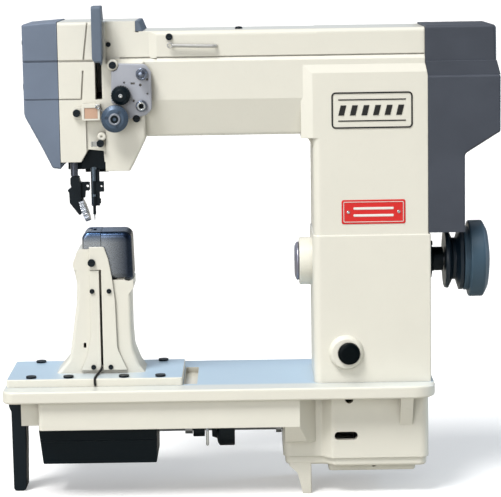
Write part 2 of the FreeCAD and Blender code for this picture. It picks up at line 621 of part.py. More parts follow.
def post_cover_left():
    """Left plate on the front of the post."""
    points = [(-194, 276.2), (-182.8, 276.2), (-182.8, POST_COVER_BOTTOM),
              (-207, POST_COVER_BOTTOM), (-199, 172, 12),
              (-194, 196, 30)]
    return prism_y(points, (COVER_Y[0] + 1, COVER_Y[1]))


def post_cover_right():
    """Right plate on the front of the post, with the tab over the left plate."""
    points = [(-194, 277), (-194, 305), (-176, 305, 3), (-171, 290, 20), (-167, 267),
              (-164, 239, 60), (-162.5, 180, 20), (-151, POST_COVER_BOTTOM),
              (-180, POST_COVER_BOTTOM), (-180, 277)]
    plate = prism_y(points, COVER_Y)
    return soften(plate, 0.8, lambda b: b.YLength < 0.01 and b.YMax < COVER_Y[0] + 0.1)


def throat_plate():
    """Saddle-shaped steel plate with the needle hole and the feed wheel's slot."""
    outer = prism_y([(-202.5, POST_LEFT_TOP + 0.2), (-202.5, THROAT_Z, 9), (-180, THROAT_Z),
                     (-180, POST_LEFT_TOP + 0.2)], (-26, 26))
    outer = soften(outer, 4, lambda b: b.XLength > 10 and b.ZMin > THROAT_Z - 1 and b.YLength < 0.01)
    inner = prism_y([(-201.2, 300), (-201.2, THROAT_Z - 2.4, 8), (-179, THROAT_Z - 2.4),
                     (-179, 300)], (-24, 24))
    wheel_slot = box((FEED_X[0] - 0.6, FEED_X[1] + 0.6), (-12, 12), (310, THROAT_Z + 5))
    half = 2.0
    hole = join([box((NEEDLE_X - half, NEEDLE_X + half), (-6, 6), (310, THROAT_Z + 5)),
                 rod_z(NEEDLE_X, -6, (310, THROAT_Z + 5), half),
                 rod_z(NEEDLE_X, 6, (310, THROAT_Z + 5), half)])
    return one_solid(outer.cut([inner, wheel_slot, hole]))


def hook_cover():
    """Hinged polished cap over the hook, with its pin turned in one piece."""
    left = -179.4
    outer = prism_y([(left, POST_SEAT_Z + 0.5), (left, THROAT_Z), (COVER_RIGHT - 1.5, THROAT_Z, 10),
                     (COVER_RIGHT, POST_SEAT_Z + 0.5, 4)], (-26, 26))
    outer = soften(outer, 7, lambda b: b.YLength < 0.01 and b.ZMin > 270 and b.XLength > 5)
    inner = prism_y([(left - 1, 255), (left - 1, THROAT_Z - 2.4),
                     (COVER_RIGHT - 4, THROAT_Z - 2.4, 8), (COVER_RIGHT - 2.2, 255)], (-23, 23))
    pin = rod_y(COVER_HINGE[0], (-23.5, 23.5), COVER_HINGE[1], 1.5)
    return one_solid(join([outer.cut(inner), pin]))


def feed_wheel():
    """Toothed wheel that moves the leather from below, with its axle."""
    wheel = prism_x(tooth_outline((0, FEED_Z), 48, FEED_RADIUS, FEED_RADIUS - 0.9, 0.35), FEED_X)
    axle = rod_x((-200.9, FEED_X[0] + 1), 0, FEED_Z, 3)
    return one_solid(join([wheel, axle]))


# ---------------------------------------------------------------- hook group

def flat_sided(lower, upper):
    """A solid with flat sides between two outlines of equally many points."""
    count = len(lower)
    rings = [lower, upper]
    for i in range(count):
        j = (i + 1) % count
        rings.append([lower[i], lower[j], upper[j], upper[i]])
    faces = [Part.Face(Part.makePolygon(ring + [ring[0]])) for ring in rings]
    solid = Part.Solid(Part.makeShell(faces))
    return solid if solid.Volume > 0 else solid.reversed()


def bevel_tooth(frame, pitch, teeth, phase, index):
    """One straight bevel tooth: its outline at the large end shrinks towards the cone's apex."""
    axial, radial = pitch
    length = math.hypot(axial, radial)
    out = (-radial / length, axial / length)
    width = math.pi * BEVEL_MODULE * 0.38
    tip = (0.75 * BEVEL_MODULE, 0.62)
    root = (-1.3 * BEVEL_MODULE, 1.35)
    angle = phase + 2 * math.pi * index / teeth
    ends = []
    for scale in (1.0, 1.0 - BEVEL_FACE / length):
        quad = []
        for (height, spread), side in ((tip, -1), (tip, 1), (root, 1), (root, -1)):
            a = (axial + out[0] * height) * scale
            r = (radial + out[1] * height) * scale
            quad.append(frame(a, r, side * width * spread / 2 * scale, angle))
        ends.append(quad)
    return flat_sided(ends[0], ends[1])


def bevel_body_points(pitch):
    """The blank's (axial, radial) ends, a little past the teeth at both ends."""
    axial, radial = pitch
    length = math.hypot(axial, radial)
    drop = 1.1 * BEVEL_MODULE
    past = 0.03
    ends = []
    for scale in (1.0 + past, 1.0 - BEVEL_FACE / length - past):
        ends.append(((axial + radial / length * drop) * scale, (radial - axial / length * drop) * scale))
    return ends


def gear_frame(axial, radial, across, angle):
    """Places a bevel-gear point: axis along +X from the shafts' crossing."""
    return V(HOOK_X + axial, radial * math.cos(angle) - across * math.sin(angle),
             LOWER_Z + radial * math.sin(angle) + across * math.cos(angle))


def pinion_frame(axial, radial, across, angle):
    """Places a bevel-pinion point: axis along +Z from the shafts' crossing."""
    return V(HOOK_X + radial * math.cos(angle) - across * math.sin(angle),
             radial * math.sin(angle) + across * math.cos(angle), LOWER_Z + axial)


def bevel_sizes():
    """Pitch radii of the gear and the pinion."""
    gear = BEVEL_MODULE * BEVEL_GEAR_TEETH / 2
    pinion = BEVEL_MODULE * BEVEL_PINION_TEETH / 2
    return gear, pinion


def bevel_gear():
    """Large bevel gear at the left end of the lower shaft."""
    gear, pinion = bevel_sizes()
    large, small = bevel_body_points((pinion, gear))
    back = large[0] + 5
    points = [(HOOK_X + small[0], 0.1), (HOOK_X + small[0], small[1]), (HOOK_X + large[0], large[1]),
              (HOOK_X + back, large[1]), (HOOK_X + back, 13), (HOOK_X + back + 8, 13),
              (HOOK_X + back + 8, 0.1)]
    blank = turned_x(points, LOWER_Z)
    teeth = [bevel_tooth(gear_frame, (pinion, gear), BEVEL_GEAR_TEETH, math.pi / 2, i)
             for i in range(BEVEL_GEAR_TEETH)]
    bore = rod_x((HOOK_X, HOOK_X + 60), 0, LOWER_Z, LOWER_RADIUS + FIXED_GAP)
    return one_solid(join([blank] + teeth).cut(bore))


def hook_shaft():
    """Upright shaft inside the post with the bevel pinion cut on its lower end."""
    gear, pinion = bevel_sizes()
    large, small = bevel_body_points((gear, pinion))
    points = [(0, LOWER_Z + small[0]), (small[1], LOWER_Z + small[0]), (large[1], LOWER_Z + large[0]),
              (large[1], LOWER_Z + large[0] + 5), (HOOK_SHAFT_RADIUS, LOWER_Z + large[0] + 8),
              (HOOK_SHAFT_RADIUS, HOOK_Z[0] + 1), (0, HOOK_Z[0] + 1)]
    blank = turned_z(points, HOOK_X)
    half_step = math.pi / BEVEL_PINION_TEETH
    teeth = [bevel_tooth(pinion_frame, (gear, pinion), BEVEL_PINION_TEETH, half_step, i)
             for i in range(BEVEL_PINION_TEETH)]
    return one_solid(join([blank] + teeth))


def rotary_hook():
    """Cup-shaped hook with its point, carried on the upright shaft."""
    floor, rim = HOOK_Z
    cup = turned_z([(0, floor - 9), (8.5, floor - 9), (9.5, floor - 2), (HOOK_RADIUS, floor + 5, 3),
                    (HOOK_RADIUS, rim, 1), (HOOK_RADIUS - 2.6, rim), (HOOK_RADIUS - 2.6, floor + 7),
                    (0, floor + 7)], HOOK_X)
    bore = rod_z(HOOK_X, 0, (HOOK_Z[0] - 12, HOOK_Z[0] + 1.02), HOOK_SHAFT_RADIUS + FIXED_GAP)
    gate = prism_z([(HOOK_X + 5, -20), (HOOK_X + 20, -14), (HOOK_X + 20, -2), (HOOK_X + 12, -7)],
                   (HOOK_Z[0] + 11, HOOK_Z[1] - 4))
    relief = prism_z([(HOOK_X - 20, 3), (HOOK_X - 20, 13), (HOOK_X - 9, 10), (HOOK_X - 13, 6)],
                     (HOOK_Z[0] + 12, HOOK_Z[1] + 1))
    return one_solid(cup.cut([bore, gate, relief]))


def bobbin_case():
    """Open case that sits in the hook and holds the bobbin."""
    outer = HOOK_RADIUS - 2.6 - 0.1
    top = HOOK_Z[1] + 1
    points = [(0, HOOK_Z[0] + 7.3), (outer, HOOK_Z[0] + 7.3), (outer, top), (outer - 1.6, top),
              (outer - 1.6, HOOK_Z[0] + 8.8), (2, HOOK_Z[0] + 8.8), (2, top - 2), (0, top - 2)]
    finger = box((HOOK_X + 2, HOOK_X + 7), (-outer - 4, -12.6), (top - 0.8, top))
    return one_solid(join([turned_z(points, HOOK_X), finger]))


def bobbin():
    """Flanged bobbin that turns on the case's centre pin."""
    low = HOOK_Z[0] + 9
    high = HOOK_Z[1] - 2
    hole = 2 + RUN_GAP
    points = [(hole, low), (12.4, low), (12.4, low + 1), (4.5, low + 1), (4.5, high - 1),
              (12.4, high - 1), (12.4, high), (hole, high)]
    body = turned_z(points, HOOK_X)
    holes = [rod_z(HOOK_X + 8.4 * math.cos(a), 8.4 * math.sin(a), (high - 2, high + 1), 1.5)
             for a in circle_points(5)]
    return one_solid(body.cut(holes))


# ---------------------------------------------------------------- shafts and wheels

def main_shaft():
    shaft = rod_x((62, 289), 0, MAIN_Z, MAIN_RADIUS)
    return shaft.makeChamfer(0.8, shape_circles(shaft))


def shape_circles(shape):
    """The circular edges of a shape."""
    return [e for e in shape.Edges if hasattr(e.Curve, "Radius")]


def handwheel():
    """Solid domed handwheel on the right end of the main shaft."""
    hub = MAIN_RADIUS + FIXED_GAP
    points = [(259.5, hub), (259.5, 38.5, 1.5), (266, 38.5), (266, 46.5, 2), (283, 46.5, 3),
              (288.5, 36, 10), (291, 20), (291, 11), (289.5, 9.5), (289.5, hub)]
    return turned_x(points, MAIN_Z)


def v_belt_pulley():
    """Grooved drive pulley beside the handwheel."""
    hub = MAIN_RADIUS + FIXED_GAP
    points = [(237, hub), (237, 35, 1), (239.5, 36, 0.6), (241.5, 36), (246.5, 25.5, 1), (250.5, 25.5, 1),
              (254.5, 38), (258.8, 38, 1), (258.8, hub)]
    return turned_x(points, MAIN_Z)


def bearing_housing():
    """Flanged sleeve round the main shaft where it leaves the column."""
    x = COLUMN_RIGHT + 3
    points = [(x, MAIN_RADIUS + 1), (x, 24, 1.5), (x + 5, 24, 1), (x + 6, 14.5, 2), (x + 19.5, 14.5, 1),
              (x + 19.5, MAIN_RADIUS + 1)]
    body = turned_x(points, MAIN_Z)
    holes = [rod_x((x - 1, x + 10), 19.5 * math.cos(a), MAIN_Z + 19.5 * math.sin(a), 2)
             for a in circle_points(3, math.pi / 2)]
    return one_solid(body.cut(holes))


def bearing_cap():
    """Domed cap on the left end of the main shaft's bearing boss."""
    return turned_x([(59.9, 0), (59.9, 23.5, 1.5), (57, 23.5, 2), (54.5, 18, 6), (54.5, 0)], MAIN_Z)


def shaft_bearings():
    """Ball-bearing rings at both ends of the main shaft."""
    inner = MAIN_RADIUS + RUN_GAP
    outer = BEARING_OUTER - FIXED_GAP
    rings = []
    for x in ((62.5, 75), (COLUMN_RIGHT - 9.5, COLUMN_RIGHT + 2.5)):
        middle = (inner + outer) / 2
        groove = turned_x([(x[0] - 1, middle - 2.2), (x[0] - 1, middle + 2.2), (x[0] + 1, middle + 2.2),
                           (x[0] + 1, middle - 2.2)], MAIN_Z)
        rings.append(ring_x(x, MAIN_Z, outer, inner).cut(groove))
    return Part.makeCompound(rings)


def toothed_rim(x, z, bore, rim=PULLEY_RADIUS):
    """One toothed timing-belt pulley with flanges."""
    wheel = prism_x(tooth_outline((0, z), PULLEY_TEETH, rim, rim - 1.8, 0.5), x)
    flanges = [rod_x((x[0] - 1.5, x[0] + 0.01), 0, z, rim + 1.5),
               rod_x((x[1] - 0.01, x[1] + 1.5), 0, z, rim + 1.5)]
    return join([wheel] + flanges).cut(rod_x((x[0] - 3, x[1] + 3), 0, z, bore))


def main_pulley():
    """Double timing pulley on the main shaft."""
    bore = MAIN_RADIUS + FIXED_GAP
    spacer = ring_x((LOWER_BELT_X[1] + 1, UPPER_BELT_X[0] - 1), MAIN_Z, 15, bore)
    return one_solid(join([toothed_rim(LOWER_BELT_X, MAIN_Z, bore), spacer,
                           toothed_rim(UPPER_BELT_X, MAIN_Z, bore)]))


def arm_pulley():
    return one_solid(toothed_rim(UPPER_BELT_X, ARM_SHAFT_Z, ARM_SHAFT_RADIUS + FIXED_GAP))


def lower_pulley():
    return one_solid(toothed_rim(LOWER_BELT_X, LOWER_Z, LOWER_RADIUS + FIXED_GAP))


def belt_loop(x, low, high):
    """A closed belt round two equal pulleys."""
    inner = PULLEY_RADIUS + BELT_CLEARANCE
    outer = inner + BELT_THICKNESS

    def stadium(r):
        return join([rod_x(x, 0, low, r), rod_x(x, 0, high, r), box(x, (-r, r), (low, high))])
    return stadium(outer).cut(stadium(inner))


def timing_belts():
    """The upper belt to the arm shaft and the lower belt to the hook's shaft."""
    upper = belt_loop((UPPER_BELT_X[0] + 0.6, UPPER_BELT_X[1] - 0.6), MAIN_Z, ARM_SHAFT_Z)
    lower = belt_loop((LOWER_BELT_X[0] + 0.6, LOWER_BELT_X[1] - 0.6), LOWER_Z, MAIN_Z)
    return Part.makeCompound([upper, lower])


def arm_shaft():
    return rod_x((CRANK_X[0] + 2, 222), 0, ARM_SHAFT_Z, ARM_SHAFT_RADIUS)


def arm_bushes():
    """Bronze bushes at both ends of the arm shaft."""
    inner = ARM_SHAFT_RADIUS + RUN_GAP
    outer = BUSH_OUTER - FIXED_GAP
    left = ring_x((HEAD_CAVITY_RIGHT, -119), ARM_SHAFT_Z, outer, inner)
    right = ring_x((196, COLUMN_RIGHT - 3), ARM_SHAFT_Z, outer, inner)
    lower = ring_x((HOUSING_X[0] + 0.5, 46), LOWER_Z, outer, LOWER_RADIUS + RUN_GAP)
    return Part.makeCompound([left, right, lower])


def lower_shaft():
    return rod_x((HOOK_X + 13, LOWER_BELT_X[1] + 8), 0, LOWER_Z, LOWER_RADIUS)


def safety_clutch():
    """Two-part overload clutch on the lower shaft."""
    hub = LOWER_RADIUS + FIXED_GAP
    points = [(-50, hub), (-50, 15, 1), (-44, 17), (-43, 22, 2), (-40.5, 26, 1), (-22, 26, 1.5),
              (-22, hub)]
    body = turned_x(points, LOWER_Z)
    notch = box((-44, -38), (18, 30), (LOWER_Z - 4, LOWER_Z + 4))
    return one_solid(body.cut(notch))


def set_collars():
    """Locating collars on the lower shaft."""
    hub = LOWER_RADIUS + FIXED_GAP
    return Part.makeCompound([ring_x(x, LOWER_Z, 11, hub) for x in ((-83, -74), (29, 36))])


# ---------------------------------------------------------------- needle drive

def crank_pin_rest():
    """(y, z) of the crank pin in the rest pose, from the link's geometry."""
    drop = 8.0
    return math.sqrt(CRANK_RADIUS ** 2 - drop ** 2), ARM_SHAFT_Z + drop


def needle_crank():
    """Balanced crank on the arm shaft's left end, with its pin."""
    y, z = crank_pin_rest()
    disc = rod_x(CRANK_X, 0, ARM_SHAFT_Z, 25)
    relief = rod_x((CRANK_X[0] - 1, CRANK_X[0] + 5), y * 2.2, ARM_SHAFT_Z + (z - ARM_SHAFT_Z) * 2.2, 24)
    web = rod_x((CRANK_X[0], CRANK_X[1]), y, z, 7)
    pin = rod_x((LINK_X[0] - 0.6, CRANK_X[0] + 2), y, z, 4)
    body = join([disc.cut(relief), web, pin])
    bore = rod_x((CRANK_X[0] + 2, CRANK_X[1] + 1), 0, ARM_SHAFT_Z, ARM_SHAFT_RADIUS + FIXED_GAP)
    return one_solid(body.cut(bore))


def needle_link():
    """Connecting rod from the crank pin to the needle bar's bracket."""
    y, z = crank_pin_rest()
    low_y, low_z = 0, z - math.sqrt(LINK_LENGTH ** 2 - y ** 2)
    x = LINK_X
    bar = prism_x([(y - 4, z), (low_y - 4, low_z), (low_y + 4, low_z), (y + 4, z)], x)
    body = join([rod_x(x, y, z, 7), rod_x(x, low_y, low_z, 6.5), bar])
    bores = [rod_x((x[0] - 1, x[1] + 1), y, z, 4 + RUN_GAP),
             rod_x((x[0] - 1, x[1] + 1), low_y, low_z, 3.5 + RUN_GAP)]
    return one_solid(body.cut(bores))


def needle_frame():
    """Rocking frame that guides the needle bar."""
    y, z = FRAME_PIVOT
    x = (-195, -181.6)
    spine = box(x, (7, 13), (432, z + 5))
    upper = box(x, (-6, 8), (530, 545))
    lower = box(x, (-6, 8), (432, 446))
    trunnion = rod_x((-203.5, -178.6), y, z, 3.5)
    body = join([spine, upper, lower, trunnion])
    bore = rod_z(NEEDLE_X, 0, (420, 560), NEEDLE_BAR_RADIUS + RUN_GAP)
    return one_solid(body.cut(bore))


def needle_bar():
    bar = rod_z(NEEDLE_X, 0, NEEDLE_BAR_Z, NEEDLE_BAR_RADIUS)
    bar = bar.makeChamfer(0.6, shape_circles(bar))
    return one_solid(bar.cut(rod_z(NEEDLE_X, 0, (350, 361), NEEDLE_RADIUS + FIXED_GAP)))


def needle_bar_clamps():
    """The link's bracket, the guide block strapped to the needle clamp, and the needle's sleeve."""
    hole = rod_z(NEEDLE_X, 0, (340, 520), NEEDLE_BAR_RADIUS + FIXED_GAP)
    bracket = join([rod_z(NEEDLE_X, 0, (480, 492), 6.3),
                    rod_x((NEEDLE_X, -169), 0, NEEDLE_PIN_Z, 3.5)]).cut(hole)
    guide = rod_z(NEEDLE_X, 0, (366, 382), 5).cut(box((-200, -189), (-9, 9), (360, 390)))
    clamp = rod_z(NEEDLE_X, 0, (352, 363), 5).cut(box((-200, -189), (-9, 9), (350, 370)))
    strap = box((-184.6, -181.2), (-3, 3), (352, 396))
    block = box((-188, -176), (-4, 4), (369, 381))
    lower = join([guide, clamp, strap, block, rod_x((-188, -180), 0, 357.5, 3)])
    lower = lower.cut([hole, rod_y(-179, (-9, 9), 375.5, 1.4)])
    sleeve = rod_z(NEEDLE_X, 0, (341, 351.4), 1.8)
    sleeve = sleeve.cut(rod_z(NEEDLE_X, 0, (340, 352), NEEDLE_RADIUS + FIXED_GAP))
    return Part.makeCompound([one_solid(solid) for solid in (bracket, lower, sleeve)])


def needle():
    """Leather-point needle held in the bar's end."""
    r = NEEDLE_RADIUS
    points = [(0, NEEDLE_TIP_Z), (r * 0.7, NEEDLE_TIP_Z + 4), (r, NEEDLE_TIP_Z + 8), (r, 360.5),
              (0, 360.5)]
    return turned_z(points, NEEDLE_X)


# ---------------------------------------------------------------- take-up

def take_up_end():
    """(y, z) of the take-up lever's eye in the rest pose."""
    a = math.radians(TAKE_UP_ANGLE)
    return (TAKE_UP_PIVOT[0] - TAKE_UP_LENGTH * math.cos(a),
            TAKE_UP_PIVOT[1] + TAKE_UP_LENGTH * math.sin(a))


def take_up_lever():
    """Lever that pulls the stitch tight, reaching out through the head's slot."""
    y0, z0 = TAKE_UP_PIVOT
    y1, z1 = take_up_end()
    x = TAKE_UP_X
    a = math.radians(TAKE_UP_ANGLE)
    side = (math.sin(a), math.cos(a))
    corners = []
    for (y, z), half in (((y0, z0), 5.5), ((y1, z1), 2.6)):
        corners.append(((y + side[0] * half, z + side[1] * half),
                        (y - side[0] * half, z - side[1] * half)))
    arm = prism_x([corners[0][0], corners[1][0], corners[1][1], corners[0][1]], x)
    body = join([rod_x(x, y0, z0, 8), arm, rod_x(x, y1, z1, 4)])
    holes = [rod_x((x[0] - 1, x[1] + 1), y0, z0, 3.5 + RUN_GAP),
             rod_x((x[0] - 1, x[1] + 1), y1, z1, 1.5)]
    return one_solid(body.cut(holes))


def take_up_pin():
    """Pivot pin of the take-up lever, fixed in the head's web."""
    y, z = TAKE_UP_PIVOT
    pin = rod_x((TAKE_UP_X[0] - 1, -128), y, z, 3.5)
    head = rod_x((TAKE_UP_X[0] - 3, TAKE_UP_X[0] - 0.5), y, z, 5.5)
    return one_solid(join([pin, head]))


def take_up_guard():
    """Finger guard in front of the take-up lever, and the small cap at the head's upper right corner."""
    low, high, back = 527, 595, -60.3
    side = [(back, low + 6), (GUARD_FRONT + 4, low), (GUARD_FRONT, low + 4), (GUARD_FRONT, high, 4),
            (-52, high, 4), (-38, HEAD_TOP + 1), (back, HEAD_TOP + 1)]
    outer = prism_x(side, GUARD_X)
    outer = soften(outer, 1.2, lambda b: is_vertical(b) and b.YMax < GUARD_FRONT + 0.1)
    inner = box((GUARD_X[0] + 1.8, GUARD_X[1] - 1.8), (GUARD_FRONT + 1.8, 0), (low - 5, high - 1.8))
    corner = prism_y([(GUARD_X[0] - 1, low - 1), (GUARD_X[0] + 4.5, low - 1), (GUARD_X[0] - 1, low + 9)],
                     (GUARD_FRONT - 1, back))
    guard = one_solid(outer.cut([inner, corner]))
    end_cap = prism_y([(-130.9, ARM_TOP - 0.9), (-121.3, ARM_TOP - 1.9), (-127, HEAD_TOP, 2),
                       (-130.9, HEAD_TOP)], (HEAD_BAND_FRONT + 0.5, ARM_BACK - 1))
    end_cap = end_cap.cut(box((HEAD_RIGHT - 12, HEAD_RIGHT + 1), (-80, 80), (ARM_TOP - 3, ARM_TOP + 0.05)))
    return Part.makeCompound([guard, one_solid(end_cap)])


# ---------------------------------------------------------------- presser

def roller_direction():
    """Unit (x, z) directions: down the leaning roller, and along its axle to the left."""
    a = math.radians(ROLLER_TILT)
    return (math.sin(a), -math.cos(a)), (-math.cos(a), -math.sin(a))


def roller_point(along):
    """A point on the roller's axle, a distance to the left of the roller's middle."""
    axle = roller_direction()[1]
    return (ROLLER_CENTRE[0] + axle[0] * along, 0, ROLLER_CENTRE[1] + axle[1] * along)


def presser_bar():
    """Presser bar with its lifting collar."""
    bar = rod_z(PRESSER_X, 0, (388.5, 556), PRESSER_BAR_RADIUS)
    nose = turned_z([(0, 380), (3, 380), (3, 390), (0, 390)], PRESSER_X)
    collar = rod_z(PRESSER_X, 0, (470, 482), 8)
    return one_solid(join([bar, nose, collar]))


def presser_spring():
    """Coil spring that loads the presser bar."""
    wire = 1.0
    turns_height = 83.8
    helix = Part.makeHelix(8.5, turns_height, 7.0)
    helix.translate(V(PRESSER_X, 0, 483.1))
    start = helix.Edges[0].firstVertex().Point
    profile = Part.Wire(Part.makeCircle(wire, start, V(0, 1, 0)))
    return Part.Wire(helix.Edges).makePipeShell([profile], True, True)


def roller_holder():
    """Cast holder that carries the leaning presser roller."""
    points = [(-216, 388.2, 3), (-206, 388.2, 2), (-204.5, 381), (-193, 381, 1.5), (-193, 370.5, 1.5),
              (-198, 370.5), (-199, 362), (-206, 355), (-204.5, 346.5), (-203.6, 342.5),
              (-206, 341, 1), (-217.5, 356, 3), (-218, 369), (-219.5, 371.5), (-215, 375), (-216, 380)]
    body = prism_y(points, (-8.5, 8.5))
    body = soften(body, 1.5, lambda b: b.YLength < 0.01 and b.ZLength > 12 and b.XMax < -206)
    arm_trim = [box((-203.5, -190), (3, 12), (360, 390)), box((-203.5, -190), (-12, -3), (360, 390))]
    eye = rod_y(-195.6, (-12, 12), 376, 1.7)
    socket = rod_z(PRESSER_X, 0, (379.9, 390), 3 + FIXED_GAP)
    left = roller_point(25)
    axle = rod(roller_point(-2), left, 3 + RUN_GAP)
    room = rod(roller_point(-8), roller_point(ROLLER_WIDTH / 2 + 0.6), ROLLER_RADIUS + 1)
    return one_solid(body.cut(arm_trim + [eye, socket, axle, room]))


def presser_roller():
    """Leaning driven roller with fine teeth and its axle."""
    axle = roller_direction()[1]
    lean = FreeCAD.Rotation(V(1, 0, 0), V(axle[0], 0, axle[1]))
    half = ROLLER_WIDTH / 2
    wheel = prism_x(tooth_outline((0, 0), 48, ROLLER_RADIUS, ROLLER_RADIUS - 0.6, 0.35), (-half, half))
    hub = rod_x((-half - 0.5, -half + 1), 0, 0, 5)
    stub = rod_x((half - 1, 9), 0, 0, 3)
    body = one_solid(join([wheel, hub, stub]))
    body.Placement = FreeCAD.Placement(V(*roller_point(0)), lean)
    return body


def lift_lever():
    """Hand lever behind the head with its shaft and lifting pin."""
    x, z = LIFT_SHAFT
    shaft = rod_y(x, (20, ARM_BACK + 3), z, 5)
    inner_arm = prism_y([(x, z - 5), (x, z + 5), (-209, z + 5.8), (-212, z + 2.8), (-209, z - 0.2)],
                        (15.5, 21))
    pin = rod_y(-209, (5.5, 17), z + 2.7, 3)
    hub = rod_y(x, (ARM_BACK + 0.3, ARM_BACK + 8), z, 9)
    handle = prism_y([(x, z - 5), (x, z + 5), (-243, z + 4, 2), (-250, z - 2, 3), (-243, z - 6, 2)],
                     (ARM_BACK + 2, ARM_BACK + 7))
    return one_solid(join([shaft, inner_arm, pin, hub, handle]))


# ---------------------------------------------------------------- thread tension

def tension_plate():
    """Plate on the head's front that carries the tension parts."""
    points = [(-159, 528, 3), (-119, 526, 6), (-112.5, 517, 5), (-112.5, 473, 5), (-119, 466.5, 4),
              (-139, 462, 3), (-160, 482, 4)]
    plate = prism_y(points, (PLATE_FRONT, FRONT - 0.02))
    plate = soften(plate, 1.6, lambda b: b.YLength < 0.01 and b.YMax < PLATE_FRONT + 0.1)
    cuts = [rod_y(PLATE_SCREW[0], (-80, -50), PLATE_SCREW[1], PLATE_BOSS_RADIUS + 0.5)]
    for x, z, r in ((-144.2, 504.9, 1.1), (-125.2, 501.8, 1.6), (-117.2, 508.4, 1.3),
                    (-117.0, 491.6, 1.1), (-133.4, 483.5, 1.4)):
        cuts.append(rod_y(x, (PLATE_FRONT - 1, PLATE_FRONT + 4), z, r))
    cuts.append(rod_y(-131, (-80, -50), 462, 4.7))
    cuts.append(box((-136.5, -131.7), (PLATE_FRONT - 1, PLATE_FRONT + 4), (502.7, 504.9)))
    return one_solid(plate.cut(cuts))


def tension_studs():
    """Studs of the dial and the knob, the upper post and the lower thread eye."""
    back = PLATE_FRONT - FIXED_GAP
    dial = join([rod_y(DIAL_CENTRE[0], (-86.5, FRONT - 0.02), DIAL_CENTRE[1], STUD_RADIUS),
                 rod_y(DIAL_CENTRE[0], (-68, FRONT - 0.02), DIAL_CENTRE[1], 6)])
    knob = rod_y(KNOB_CENTRE[0], (-84, back), KNOB_CENTRE[1], STUD_RADIUS)
    post = turned_y([(back, 0), (back, 7), (-71, 7, 0.4), (-72, 4.5), (-76, 4.5), (-77, 7),
                     (-80, 7, 1), (-80, 0)], -123, 515)
    eye = turned_y([(back, 3), (back, 7), (-75, 6.5, 1), (-76, 4, 0.6), (-76, 3)], -124.5, 477.5)
    return Part.makeCompound([dial, knob, post, eye])


def knurled(centre, y, radius, teeth, depth):
    """A knurled disc with its axis along Y."""
    return prism_y(tooth_outline(centre, teeth, radius, radius - depth, 0.45), y)


def tension_dial():
    """Main tension nut with its numbered drum."""
    x, z = DIAL_CENTRE
    drum = turned_y([(-80.5, 0), (-80.5, DIAL_RADIUS), (-83, DIAL_RADIUS, 1), (-86, 11, 1.5),
                     (-86, 0)], x, z)
    rim = knurled(DIAL_CENTRE, (-80.5, -77), DIAL_RADIUS, 40, 0.7)
    hub = rod_y(x, (-88, -85), z, 6)
    body = join([drum, rim, hub])
    holes = [rod_y(x + 9.5 * math.cos(a), (-90, -84.5), z + 9.5 * math.sin(a), 2)
             for a in circle_points(3, 0.9)]
    stud_hole = rod_y(x, (-86.6, -70), z, STUD_RADIUS + RUN_GAP)
    return one_solid(body.cut(holes + [stud_hole]))


def tension_discs():
    """Pair of dished discs that grip the thread behind the dial."""
    x, z = DIAL_CENTRE
    hole = STUD_RADIUS + 0.3
    front = turned_y([(-75.6, hole), (-75.6, 9), (-76.4, 13), (-76.9, 13), (-76.2, 8.7),
                      (-76.2, hole)], x, z)
    rear = turned_y([(-74.8, hole), (-74.8, 9), (-74.0, 13), (-73.5, 13), (-74.2, 8.7),
                     (-74.2, hole)], x, z)
    return Part.makeCompound([rear, front])


def pretension_knob():
    """Small ribbed knob above the main dial."""
    x, z = KNOB_CENTRE
    rim = knurled(KNOB_CENTRE, (-81, -71.5), KNOB_RADIUS, 24, 1.0)
    nose = turned_y([(-81, 0), (-81, KNOB_RADIUS - 1.4), (-84.6, 7, 1), (-84.6, 0)], x, z)
    return one_solid(join([rim, nose]).cut(rod_y(x, (-84.05, -70), z, STUD_RADIUS + RUN_GAP)))


def check_spring():
    """Thread check spring: a coil round the dial's stud and a free arm."""
    x, z = DIAL_CENTRE
    coil = turned_y([(-72.2, 4), (-72.2, 5.2), (-70.2, 5.2), (-70.2, 4)], x, z)
    arm = rod((x - 4.6, -71.2, z), (x - 19, -71.2, z + 12), 0.6)
    hook = Part.makeTorus(2.2, 0.6, V(x - 20.6, -71.2, z + 13.6), V(0, 1, 0))
    return one_solid(join([coil, arm, hook]))


def thread_guide_frame():
    """Bracket on the head that clamps the felt pad."""
    frame = box((-195, -173.4), (-70, FRONT - 0.02), (461, 480.5))
    frame = soften(frame, 1.0, lambda b: b.YLength > 5)
    window = box((-191.8, -176.2), (-71, -62), (463.2, 475.8))
    slots = [rod_z(x, -66, (477, 482), 1.3) for x in (-188.5, -179.5)]
    ear = prism_y([(-194.5, 462), (-206, 463, 4), (-206, 476, 4), (-194.5, 477)], (-62.5, FRONT - 0.02))
    return one_solid(join([frame, ear]).cut([window] + slots))


def felt_pad():
    """Oiled felt in the thread guide."""
    return box((-191.7, -176.3), (-69.4, -62.1), (463.3, 475.7))


def thread_clip():
    """Bent clip that leads the thread down to the needle."""
    tongue = box((-185, -172), (-64.5, -63), (429.8, 435.8))
    bend = box((-185, -183.5), (-70, -63), (429.8, 435.8))
    leg = box((-177, -171.5), (-64.5, FRONT + 2.4), (429.8, 435.8))
    return one_solid(join([tongue, bend, leg]))


# ---------------------------------------------------------------- small parts

def screw_head(x, y, z, axis, radius, height):
    """A slotted screw head standing on a surface, seen along -Y or +Z."""
    if axis == "Y":
        head = rod_y(x, (y - height, y), z, radius)
        slot = box((x - radius, x + radius), (y - height - 1, y - height * 0.55), (z - 0.5, z + 0.5))
    else:
        head = rod_z(x, y, (z, z + height), radius)
        slot = box((x - radius, x + radius), (y - 0.5, y + 0.5), (z + height * 0.45, z + height + 1))
    return head.cut(slot)


